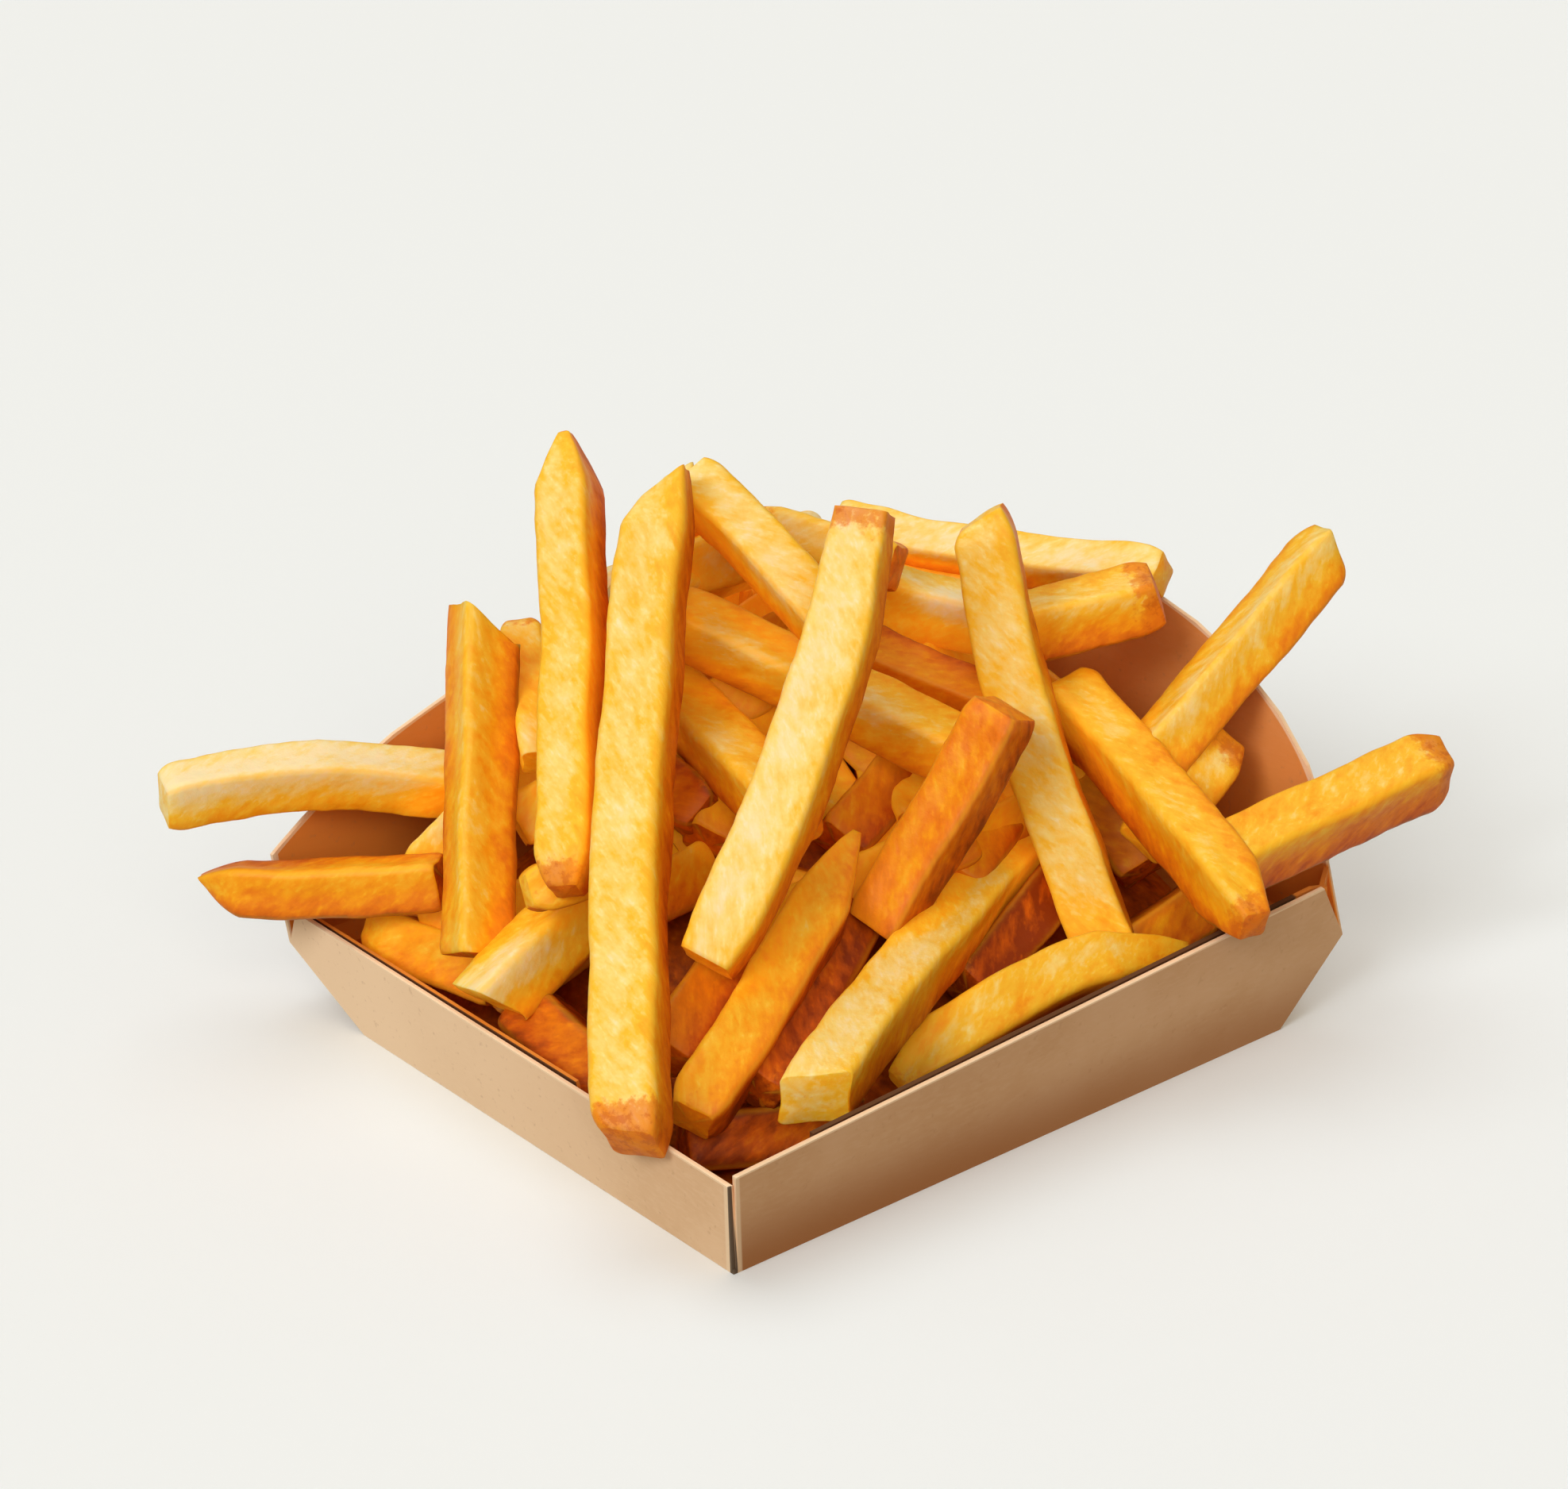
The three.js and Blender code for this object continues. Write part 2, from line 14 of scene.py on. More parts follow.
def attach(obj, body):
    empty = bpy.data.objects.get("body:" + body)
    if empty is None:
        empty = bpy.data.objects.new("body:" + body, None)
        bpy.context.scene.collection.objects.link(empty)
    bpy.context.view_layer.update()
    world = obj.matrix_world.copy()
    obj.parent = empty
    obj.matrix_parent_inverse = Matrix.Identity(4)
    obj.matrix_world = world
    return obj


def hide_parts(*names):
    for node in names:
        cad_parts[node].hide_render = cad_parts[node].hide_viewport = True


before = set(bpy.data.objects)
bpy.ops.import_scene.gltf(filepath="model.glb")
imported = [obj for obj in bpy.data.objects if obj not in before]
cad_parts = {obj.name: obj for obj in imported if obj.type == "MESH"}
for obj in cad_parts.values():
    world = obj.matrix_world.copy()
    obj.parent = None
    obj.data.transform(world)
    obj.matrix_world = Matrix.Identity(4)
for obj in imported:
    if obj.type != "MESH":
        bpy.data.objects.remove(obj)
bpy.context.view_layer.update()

MM = 0.001  # the tables below are in millimetres, and Blender works in metres


# %% [markdown]
# ## Meshes from arrays
#
# Every piece here is a surface worked out as whole arrays: numpy computes all points of a shape at
# once, and `foreach_set` hands them to the mesh in one call. That is far quicker than adding points
# one at a time, and it keeps the shape's formula in one place. Each point can also carry marks, such
# as how golden the potato is there, which the material reads later by name.

# %% Put a mesh together from arrays
def put_mesh(name, points, quads, triangles=None, marks=None):
    """Makes a mesh object from points in mm, rows of 4 and of 3 point numbers, and named marks."""
    triangles = np.zeros((0, 3), int) if triangles is None else triangles
    mesh = bpy.data.meshes.new(name)
    mesh.vertices.add(len(points))
    mesh.vertices.foreach_set("co", (points * MM).astype(np.float32).ravel())
    corners = np.concatenate([quads.ravel(), triangles.ravel()]).astype(np.int32)
    starts = np.concatenate([4 * np.arange(len(quads)), quads.size + 3 * np.arange(len(triangles))])
    mesh.loops.add(len(corners))
    mesh.loops.foreach_set("vertex_index", corners)
    mesh.polygons.add(len(starts))
    mesh.polygons.foreach_set("loop_start", starts.astype(np.int32))
    mesh.update(calc_edges=True)
    mesh.polygons.foreach_set("use_smooth", np.ones(len(starts), bool))
    for mark, values in (marks or {}).items():
        kind, field = ("FLOAT_VECTOR", "vector") if values.ndim == 2 else ("FLOAT", "value")
        layer = mesh.attributes.new(mark, kind, "POINT")
        layer.data.foreach_set(field, values.astype(np.float32).ravel())
    piece = bpy.data.objects.new(name, mesh)
    bpy.context.scene.collection.objects.link(piece)
    print(name, len(points), "points", 2 * len(quads) + len(triangles), "triangles")
    return piece


def tube_faces(rings, around):
    """Quads between the rings of a closed tube, and fans to one pole point at each of its ends.

    The points are numbered ring by ring, and the two poles come last.
    """
    ring, place = np.meshgrid(np.arange(rings - 1), np.arange(around), indexing="ij")
    here = ring * around + place
    beside = ring * around + (place + 1) % around
    quads = np.stack([here, beside, beside + around, here + around], axis=-1).reshape(-1, 4)
    k = np.arange(around)
    after = (k + 1) % around
    foot_pole, tip_pole = rings * around, rings * around + 1
    last = (rings - 1) * around
    foot_fan = np.stack([np.full(around, foot_pole), after, k], axis=-1)
    tip_fan = np.stack([np.full(around, tip_pole), last + k, last + after], axis=-1)
    return quads, np.concatenate([foot_fan, tip_fan])


print("a tube with 3 rings of 4 points has quads and triangles:", [len(made) for made in tube_faces(3, 4)])

# %% [markdown]
# ## The camera
#
# The tray stands with its front corner towards the viewer, and the camera looks down on it a little.
# A long lens keeps the fries' sides nearly parallel. The camera is turned by three directions: its
# back, its right and its up, which a matrix takes as columns.

# %% Place the camera
def point_camera(place_mm, azimuth, elevation, lens_mm):
    """A camera at a place, looking along the direction given by azimuth and elevation in degrees."""
    turn, tilt = np.radians(azimuth), np.radians(elevation)
    back = Vector((np.sin(turn) * np.cos(tilt), -np.cos(turn) * np.cos(tilt), np.sin(tilt)))
    right = Vector((0, 0, 1)).cross(back).normalized()
    up = back.cross(right)
    lens = bpy.data.cameras.new("camera")
    lens.lens = lens_mm
    camera = bpy.data.objects.new("camera", lens)
    place = Matrix((right, up, back)).transposed().to_4x4()
    place.translation = Vector(place_mm) * MM
    camera.matrix_world = place
    bpy.context.scene.collection.objects.link(camera)
    bpy.context.scene.camera = camera
    return camera


camera = point_camera((-336.65, -390.83, 282.90), azimuth=-40.098, elevation=24.544, lens_mm=90)
print("camera at", list(camera.matrix_world.translation))

# %% [markdown]
# ## Where the fries lie
#
# Each fry is a stick from its foot to its tip, bowed a little, with its own width, depth and roll.
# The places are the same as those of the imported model, so each stick grows out of the solid that
# stands for it in the physics. The last two groups of a row shape its ends: how long the end tapers,
# how small its end face is, and how far that face slants.

# %% The fries that show
FACE = np.array([-0.586, -0.696, 0.415])  # the broad faces turn this way, out over the front corner

PLAIN = (2, 0.8, 0)  # an end with a short taper, cut square
STRAIGHT = (0, 0, 0)  # no bow

# name, foot, tip, bow in its middle, width and depth, roll in degrees, foot end, tip end
FRIES = [
    # those that hang or lean out of the tray
    ("out_left_high", (-28, 47.6, 31.7), (-71, 67.1, 35.6), (0, 1, 2.7), (8, 8), -38, PLAIN, (3, 0.7, -1)),
    ("out_left_low", (-43, 35, 26), (-67, 62.5, 22), (0, 0, -1), (7.8, 7.6), -14, PLAIN, (6, 0.3, 3)),
    ("out_right_high", (44, -22, 38.5), (76.5, -27, 67), STRAIGHT, (8.3, 8.3), 20, PLAIN, (4, 0.65, -3)),
    ("out_right_low", (39, -42, 31), (81, -48, 37.5), STRAIGHT, (9, 9.4), -40, PLAIN, (5, 0.6, -2)),
    ("over_front_right", (35.5, -53.5, 27), (42, -6, 46), (1, -1.5, -1), (8.8, 10.4), 28, (10, 0.45, 0), (3, 0.7, 0)),
    ("over_front_left", (-60, -31, 17), (-11, 22.5, 84), (0.5, 4.5, -5.5), (9.8, 9.6), -14, (5, 0.7, -3), (7, 0.55, 6)),
    # the tall ones in the middle
    ("tall_left", (-47.5, 21.5, 20), (-31, 40, 61.5), (0.5, 0.5, 0.5), (9, 8.6), 29, PLAIN, (3, 0.95, -8)),
    ("tallest", (-44.2, 3.8, 36.1), (-13, 43, 86.6), (1, -0.5, -1.5), (8.2, 8.6), -20, (6, 0.45, 0), (9, 0.15, 0)),
    ("behind_tallest", (-32, 25, 45), (-22, 44, 58), STRAIGHT, (6.6, 6), 10, PLAIN, (3, 0.5, 0)),
    ("behind_long", (-23.2, 12.4, 59.5), (0.3, 34, 79), STRAIGHT, (8, 8), 0, PLAIN, (8, 0.5, 4)),
    ("peak_slope", (5, 0, 62), (-3.5, 27, 82), STRAIGHT, (7.8, 7.8), 23, PLAIN, (3, 0.7, 0)),
    ("bent_centre", (-35, -15.5, 29.5), (4, -4, 84), (3, -1.5, -1), (9.6, 9.4), -14, (7, 0.75, 0), (18, 0.8, 0)),
    ("tall_right", (30.5, -29, 15.5), (29, -1, 76), (-1, 2, -0.5), (9.2, 8.4), -10, (2, 0.95, 0), (4, 0.6, 3)),
    # the top of the heap, towards the back corner
    ("top_far", (43.6, 47.7, 56), (62.6, -6.3, 59.5), (0, 0, -1), (6.6, 6.6), -30, PLAIN, (3, 0.7, 0)),
    ("top_near", (34, 3, 54), (54.5, -13, 61), (0, 0, -0.5), (9, 9), 30, PLAIN, (4, 0.75, 0)),
    ("top_middle", (24, 33, 57), (40, 4, 53.5), STRAIGHT, (8.8, 8.8), 32, PLAIN, PLAIN),
    ("top_stub", (26, 13.2, 64), (16, 34.2, 67), STRAIGHT, (7.6, 8), 0, PLAIN, (4, 0.7, 0)),
    ("cross_high", (18, -14.2, 43.3), (-9, 24.8, 61.8), (2, -1, -0.5), (8.5, 8.7), -42, PLAIN, PLAIN),
    ("cross_thin", (33, 4, 44), (27, 23, 49), STRAIGHT, (6.2, 6.2), 20, PLAIN, PLAIN),
    ("cross_low", (-13, -10, 42), (-8, 28, 50), STRAIGHT, (9, 9), 32, PLAIN, PLAIN),
    # the front slope
    ("slope_right", (-3, -15, 24), (16, -21, 56), (1, 0, 0), (8.8, 8.6), -25, (3, 0.8, 0), (3, 0.8, 0)),
    ("slope_left", (-46.5, -26.5, 13.5), (-1, -9, 37), (0.5, 0, -1), (8.8, 8.6), -12, (4, 0.6, 0), (14, 0.15, 0)),
    ("slope_front", (-35.5, -39, 18.5), (33, -9, 25), (0, 1, 0), (9, 8.8), -33, (3, 0.9, 6), (3, 0.8, 0)),
    ("rim_right", (-10.7, -28.2, 7.3), (38.2, -38.1, 16.7), (0, 1, 4), (8.4, 7.6), -20, (9, 0.4, 0), (15, 0.15, 0)),
    ("rim_left", (-51, 14, 17), (-28, 15, 29), STRAIGHT, (9.4, 9.4), 27, (1.5, 0.95, 5), PLAIN),
    ("rim_left_upper", (-46, 11.5, 34), (-29.5, 6.5, 35.5), STRAIGHT, (7, 7), 0, (3, 0.5, 0), PLAIN),
    ("wall_left", (-41, 23, 13), (-48, 49, 14), STRAIGHT, (8.4, 8.4), 0, PLAIN, (6, 0.3, 0)),
    ("wall_front", (-45, -12, 10), (-44, 15, 13), STRAIGHT, (8.8, 8.8), 0, PLAIN, PLAIN),
    ("wall_right", (36, -28, 12), (57, -29, 18), STRAIGHT, (8.4, 8.4), 0, PLAIN, PLAIN),
    ("wall_far", (39, -27, 29), (58, -25.5, 40), STRAIGHT, (8.4, 8), 0, PLAIN, (6, 0.5, 0)),
    # the ones deep between them
    ("deep_left_high", (-15, 8, 37), (-15, 25, 40), STRAIGHT, (8.4, 8.4), 10, (3, 0.6, 0), PLAIN),
    ("deep_left_low", (-15, 9, 29), (-32, 4, 30), STRAIGHT, (8.4, 8.4), 0, (3, 0.6, 0), PLAIN),
    ("deep_left", (-41, 44, 23), (-19, 32, 47), STRAIGHT, (8.8, 8.8), 0, (3, 0.7, 0), PLAIN),
    ("deep_front", (-43, -16, 18), (-26, -10, 25), STRAIGHT, (8.2, 8.2), 0, PLAIN, PLAIN),
    ("deep_middle", (-35, -27, 14), (-1, -9, 24), STRAIGHT, (8.4, 8.4), 0, (3, 0.7, 0), (3, 0.8, 0)),
    ("deep_centre", (0, -3, 32), (18, 1, 40), STRAIGHT, (8.4, 8.4), 0, PLAIN, PLAIN),
    ("deep_right", (7, -24, 14), (34, -16, 22), STRAIGHT, (8, 8), 0, PLAIN, PLAIN),
    ("deep_right_high", (46, -21, 20), (47, -6, 30), STRAIGHT, (8, 8), 0, PLAIN, PLAIN),
    ("corner_front", (-20, -32, 6), (-44, -21, 7), STRAIGHT, (8.4, 8.4), 0, PLAIN, PLAIN),
    # the back of the heap, against the tall walls
    ("back_left_low", (-32, 51, 30.5), (22, 53.5, 38), (0, 0, 1), (8.6, 8.4), 10, (3, 0.7, 0), (3, 0.8, 0)),
    ("back_left_high", (-14, 44, 50), (34, 50, 49), (0, 1, 2), (8.4, 8.2), 20, (3, 0.7, 0), (4, 0.6, 0)),
    ("back_left_rest", (-32, 40, 39.5), (2, 53, 45), STRAIGHT, (8.6, 8.6), -10, (3, 0.8, 0), (3, 0.6, 0)),
    ("back_corner", (28, 26, 46), (65, 66, 34), (0, 0, 1), (8.8, 8.6), 15, (3, 0.8, 0), (6, 0.5, 2)),
    ("back_right_low", (53, 48, 28), (56, 2, 34), STRAIGHT, (8.6, 8.4), 0, (3, 0.8, 0), (3, 0.7, 0)),
    ("back_right_high", (38, 46, 47.8), (57.5, 14, 48), (0, 0, 1), (8.4, 8.4), 25, (3, 0.8, 0), (4, 0.6, 0)),
    ("back_middle", (-10, 34, 62), (32, 39, 59), (0, 0, 1), (8.4, 8.4), -20, (3, 0.7, 0), (3, 0.7, 0)),
    ("back_peak", (-8, 51, 54), (10, 26, 68), STRAIGHT, (8.2, 8.2), 10, (4, 0.6, 0), (3, 0.8, 0)),
    ("back_stub", (14, 48, 54), (4, 38, 70), STRAIGHT, (8.2, 8), 20, (3, 0.8, 0), (5, 0.5, -3)),
    ("inner_right", (24, 8, 46), (52, 22, 44), STRAIGHT, (8.6, 8.4), 0, (3, 0.8, 0), (3, 0.8, 0)),
    ("inner_top", (33, -4, 43), (13, 22, 55), STRAIGHT, (8.6, 8.4), -42, (3, 0.8, 0), (3, 0.8, 0)),
    ("inner_side", (44, -12, 38), (44, 3, 42), STRAIGHT, (8, 8), 0, PLAIN, PLAIN),
    ("inner_left", (-34, 30, 34), (4, 18, 50), STRAIGHT, (8.6, 8.6), 0, (3, 0.8, 0), (3, 0.8, 0)),
]
print(len(FRIES), "fries that show")

# %% [markdown]
# ## The fries deep in the heap
#
# Between the fries that show lie shorter ones, placed by a rule: seeded draws give a place and a
# turn, each stick follows the slope of the heap's core a little above it, and one that would meet
# the board is skipped. The draws come from a small formula rather than from a library, so that the
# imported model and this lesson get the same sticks.

# %% Place the deep fries
HALF_X, HALF_Y = 53, 43.5  # half of the floor of the tray, from fold to fold
BOARD, CLEAR = 0.7, 0.3  # thickness of the board, and the gap between it and the fries
CREASE_LEFT = (60.5, 9.4)  # y and z of the fold in the wall that faces +Y
CREASE_RIGHT = (63.4, 13.4)  # x and z of the fold in the wall that faces +X
STRIP_LEFT = (CREASE_LEFT[0] - HALF_Y) / CREASE_LEFT[1]  # run of the flared strips for each mm they rise
STRIP_RIGHT = (CREASE_RIGHT[0] - HALF_X) / CREASE_RIGHT[1]
CORE_FOOT, CORE_RISE = 2, 38  # height of the core at its edge, and its rise over that
CORE_WAVE_X, CORE_WAVE_Y = 157, 140  # lengths of the half waves that shape it
CORE_LIFT = 1  # gap between its underside and the flared strips
FILL_SEED, FILL_TRIES = 7, 36
FILL_FROM, FILL_SPAN = (-38, -28), (84, 72)  # corner and extent of the rectangle that holds the middles
FILL_HALF = (23, 8)  # half the length of the first, and how much shorter the last is
FILL_LIFT = (2, 12)  # least height over the core, and how much is drawn on top of that
FILL_ROOM = 6  # least height of an end over the board
FILL_SECTION, FILL_END = (8.6, 8.4), (3, 0.8, 0)


def draws(seed, count):
    """Seeded numbers between 0 and 1: each state is the last one times 16807, modulo 2**31 - 1."""
    values = []
    for _ in range(count):
        seed = seed * 16807 % 2147483647
        values.append(seed / 2147483647)
    return values


def core_top(x, y):
    """Height of the core: a product of two half waves to the power 1.5, over the floor."""
    wave = np.sin(np.pi * (x + HALF_X) / CORE_WAVE_X) * np.sin(np.pi * (y + HALF_Y) / CORE_WAVE_Y)
    return CORE_FOOT + CORE_RISE * np.clip(wave, 0, 1) ** 1.5


def core_bottom(x, y):
    """Height of the board under the heap: the floor, or the flared strip that rises from its edge."""
    over_left = (y - HALF_Y + 2 * BOARD) / STRIP_LEFT + CORE_LIFT
    over_right = (x - HALF_X + 2 * BOARD) / STRIP_RIGHT + CORE_LIFT
    return np.maximum(BOARD + CLEAR, np.maximum(over_left, over_right))


def may_hold_end(x, y):
    """Whether a deep fry may end here: inside the tray, and not on its front slope."""
    return -46 < x < 56 and -25 < y < 53 and x + y > -35


def deep_fries():
    """The rows of the fries deep in the heap, longest first."""
    numbers = iter(draws(FILL_SEED, 4 * FILL_TRIES))
    rows = []
    for i in range(FILL_TRIES):
        middle = np.array([start + span * next(numbers) for start, span in zip(FILL_FROM, FILL_SPAN)])
        turn, lift = np.pi * next(numbers), FILL_LIFT[0] + FILL_LIFT[1] * next(numbers)
        reach = (FILL_HALF[0] - FILL_HALF[1] * i / FILL_TRIES) * np.array([np.cos(turn), np.sin(turn)])
        ends = [middle - reach, middle + reach]
        heights = [core_top(*end) + lift for end in ends]
        room = [height - core_bottom(*end) for end, height in zip(ends, heights)]
        if all(may_hold_end(*end) for end in ends) and min(room) > FILL_ROOM:
            foot, tip = [(*end, height) for end, height in zip(ends, heights)]
            rows.append((f"deep_{i}", foot, tip, STRAIGHT, FILL_SECTION, 0, FILL_END, FILL_END))
    return rows


DEEP = deep_fries()
print(len(DEEP), "fries deep in the heap")

# %% [markdown]
# ## One fry
#
# A fry is cut square and fries into something softer: its corners round off, its faces sink a
# little as the inside dries, and the stick bends, swells and twists by fractions of a millimetre.
# All of this is one formula. The section is a square with round corners, a bowed line carries it
# from foot to tip, and sums of sine waves with random phases make the unevenness. Its rings are
# closest at the two ends, where the shape changes fastest.

# %% The section of a fry
RINGS = 54
CAP_SHARES = np.array([0.35, 0.65, 0.86, 0.96])  # rings on each end face, as shares of its size
ON_FACE, ON_CORNER = 5, 5  # points along each face of the section, and round each of its corners
AROUND = 4 * (ON_FACE + ON_CORNER)
SUNK = 0.03  # how far the faces sink, as a share of the width
SHRINK = 0.985  # a fry stays just inside its solid
DOME = 0.4  # how far the middle of an end face stands out, in mm


def unit(vectors):
    """Vectors scaled to length 1."""
    return vectors / np.linalg.norm(vectors, axis=-1, keepdims=True)


def rounded_square(radius):
    """Points x, y round a square of width 1 whose corners are quarter circles of the given radius.

    One quarter is a straight face, sunk by half a wave in its middle, and then a corner. The other
    quarters are the same points turned by 90 degrees.
    """
    share = np.arange(ON_FACE) / ON_FACE - 0.5
    face_x = 0.5 - SUNK * (0.5 + 0.5 * np.cos(2 * np.pi * share))
    face_y = share * (1 - 2 * radius)
    turn = np.pi / 2 * (np.arange(ON_CORNER) + 0.5) / ON_CORNER
    corner_x = 0.5 - radius + radius * np.cos(turn)
    corner_y = 0.5 - radius + radius * np.sin(turn)
    x, y = np.concatenate([face_x, corner_x]), np.concatenate([face_y, corner_y])
    return np.concatenate([x, -y, -x, y]), np.concatenate([y, x, -y, -x])


def end_scale(distance, taper, smallest):
    """Size of the section near an end: it grows from `smallest` to 1 along the taper, on a curve
    that is round for a short taper and nearly straight for a long one."""
    power = 1 + 0.9 / (1 + (taper / 4) ** 2)
    left = 1 - np.clip(distance / taper, 0, 1)
    return smallest + (1 - smallest) * (1 - left**power) ** (1 / power)


def waves(rng, where, lengths, size):
    """A sum of sine waves of the given lengths, each with its own random phase."""
    full = 2 * np.pi
    return sum(size * np.sin(full * where / length + rng.uniform(0, full)) for length in lengths)


def bumps(rng, points, length, size, count=5):
    """Unevenness in space: a sum of sine waves that run in random directions."""
    total = np.zeros(points.shape[:-1])
    for _ in range(count):
        direction = unit(rng.normal(size=3))
        wave = length * rng.uniform(0.7, 1.4)
        total += np.sin(2 * np.pi * (points @ direction) / wave + rng.uniform(0, 6.3))
    return size * total / np.sqrt(count)


print("each ring of a fry has", AROUND, "points")


# %% The line of a fry, and the directions across it
def stick_line(foot, tip, bow, t):
    """Centre and direction of a stick at shares t of its length, and the two directions across it.

    The centre runs from foot to tip and bows by 4t(1 - t), and `ahead` is its slope. `up` is FACE
    made square to the stick, and `side` is ahead x up.
    """
    run, bow = np.subtract(tip, foot), np.array(bow, float)
    centre = np.array(foot, float) + run * t + 4 * t * (1 - t) * bow
    ahead = unit(run + 4 * (1 - 2 * t) * bow)
    up = unit(FACE - (ahead @ FACE)[:, None] * ahead)
    return centre, ahead, up, np.cross(ahead, up)


def rolled(up, side, turn):
    """The two directions across a stick, turned about it by an angle."""
    return up * np.cos(turn) + side * np.sin(turn), side * np.cos(turn) - up * np.sin(turn)


def stations(length, rings):
    """How far along a fry each ring lies, and the share of the full section that it has.

    The rings of the sides crowd towards the ends: 45 parts of even steps and 55 parts of half a
    wave. The rings of the end faces stand out by DOME times the square of their share.
    """
    even = np.linspace(0, 1, rings)
    crowded = 0.45 * even + 0.55 * (0.5 - 0.5 * np.cos(np.pi * even))
    shares = np.concatenate([CAP_SHARES, np.ones(rings), CAP_SHARES[::-1]])
    dome, caps = DOME * shares**2, len(CAP_SHARES)
    sides = DOME + (length - 2 * DOME) * crowded
    return np.concatenate([dome[:caps], sides, length - dome[-caps:]]), shares


print("first rings of a fry of 80 mm:", stations(80, RINGS)[0][:6].round(2))


# %% Carry the section along the fry
def fry_surface(row, rng, rings=RINGS):
    """The points of one fry, ring by ring and then its two poles, and the marks of each point.

    A point is centre(t) + side * x + up * y + ahead * slant.
    """
    _, foot, tip, bow, (wide, deep), roll, foot_end, tip_end = row
    length = np.linalg.norm(np.subtract(tip, foot))
    along, shares = stations(length, rings)
    centre, ahead, up, side = stick_line(foot, tip, bow, (along / length)[:, None])
    up, side = rolled(up, side, np.radians(roll) + waves(rng, along, (70, 31), 0.03)[:, None])
    sideways = side * waves(rng, along, (45, 23), 0.12)[:, None]
    centre = centre + sideways + up * waves(rng, along, (38,), 0.12)[:, None]

    size = end_scale(along, foot_end[0], foot_end[1]) * end_scale(length - along, tip_end[0], tip_end[1])
    size = size * (1 + waves(rng, along, (29, 13, 7), 0.006)) * shares * SHRINK
    x, y = rounded_square(rng.uniform(0.1, 0.17))
    near_foot = (1 - along / foot_end[0]).clip(0, 1) * foot_end[2]
    near_tip = (1 - (length - along) / tip_end[0]).clip(0, 1) * tip_end[2]
    slant = ((near_foot + near_tip) * shares)[:, None] * x
    # the same fry laid out straight, and its dents
    flat = np.stack([size[:, None] * x * wide, size[:, None] * y * deep, along[:, None] + 0 * x], axis=-1)
    outward = unit(np.stack([x, y], axis=-1))
    dents = bumps(rng, flat, 9, 0.07) + bumps(rng, flat, 3.2, 0.04)
    flat[..., :2] += outward * (dents * shares[:, None])[..., None]
    points = centre[:, None] + side[:, None] * flat[..., :1] + up[:, None] * flat[..., 1:2]
    points = points + ahead[:, None] * slant[..., None]

    # which way each point faces, how near a corner it is, and its place in the straight fry
    outward = side[:, None] * outward[:, :1] + up[:, None] * outward[:, 1:]
    caps = len(CAP_SHARES)
    outward[:caps], outward[-caps:] = -ahead[:caps, None], ahead[-caps:, None]
    outward = np.concatenate([outward.reshape(-1, 3), [-ahead[0], ahead[-1]]])
    corner = np.minimum(np.abs(x), np.abs(y)) / np.minimum(np.abs(x), np.abs(y)).max()
    edge = np.append(np.tile(corner**5, len(along)), [0, 0])
    potato = np.concatenate([flat.reshape(-1, 3), [[0, 0, 0], [0, 0, length]]])
    return np.concatenate([points.reshape(-1, 3), [foot, tip]]), outward, potato, edge


first_fry = fry_surface(FRIES[0], np.random.default_rng(0))[0]
print("the first fry reaches from", first_fry.min(axis=0).round(1), "to", first_fry.max(axis=0).round(1))

# %% [markdown]
# ## How crowded the heap is
#
# Where fries lie close together, little daylight gets in, and what does has passed through potato
# and oil, so the gaps look amber. Ray tracing gives the shade but hardly that colour, so the material
# paints amber shade and a faint glow where this number is high. The fries and the board fill a coarse
# grid, the grid is softened, and each point of a fry reads the grid just outside its surface. The
# number is near 0 in the open and near 1 deep between fries.

# %% Measure how crowded the heap is
CELL, GRID_FROM, GRID_CELLS = 1.5, np.array([-84.0, -63.0, -6.0]), (120, 96, 66)
REACH = 4.0  # the crowding is read this far outside the surface


def filled_by(row, steps=70, across=7):
    """Points that fill one fry: a grid over its section, carried from foot to tip."""
    _, foot, tip, bow, (wide, deep), roll, _, _ = row
    centre, _, up, side = stick_line(foot, tip, bow, np.linspace(0.02, 0.98, steps)[:, None])
    up, side = rolled(up, side, np.radians(roll))
    a, b = [part.reshape(-1, 1) for part in np.meshgrid(*[np.linspace(-0.45, 0.45, across)] * 2)]
    return (centre[:, None] + side[:, None] * a * wide + up[:, None] * b * deep).reshape(-1, 3)


def measure_crowd(rows, soften=3.2):
    """A grid of cells that are 1 where there is potato or board, softened by a bell curve in mm."""
    grid = np.zeros(GRID_CELLS)
    cells = np.concatenate([filled_by(row) for row in rows])
    grid[tuple(((cells - GRID_FROM) / CELL).astype(int).T)] = 1
    x, y, z = [part * CELL + start for part, start in zip(np.indices(GRID_CELLS), GRID_FROM)]
    over_tray = (abs(x + 1) < 56) & (abs(y + 1) < 46)
    under = z < np.where(over_tray, core_top(x, y), -1)  # in the core, or below the floor
    low_walls = ((x < -52) | (y < -42.5)) & (x > -57) & (y > -48) & (z < 15)
    grid[under | low_walls] = 1
    shifts = np.arange(-6, 7)
    bell = np.exp(-((shifts * CELL / soften) ** 2) / 2)
    for axis in range(3):
        grid = sum(weight * np.roll(grid, shift, axis) for shift, weight in zip(shifts, bell / bell.sum()))
    return grid


def crowd_at(points):
    """The softened grid read between its cells, along x, then y, then z."""
    place = np.clip((points - GRID_FROM) / CELL - 0.5, 0, np.array(GRID_CELLS) - 1.001)
    low = place.astype(int)
    part = place - low
    total = np.zeros(len(points))
    for corner in np.indices((2, 2, 2)).reshape(3, -1).T:
        weight = np.prod(np.where(corner == 1, part, 1 - part), axis=1)
        total += weight * CROWD[tuple((low + corner).T)]
    return total


CROWD = measure_crowd(FRIES + DEEP)
print("crowding reaches", round(float(CROWD.max()), 2))
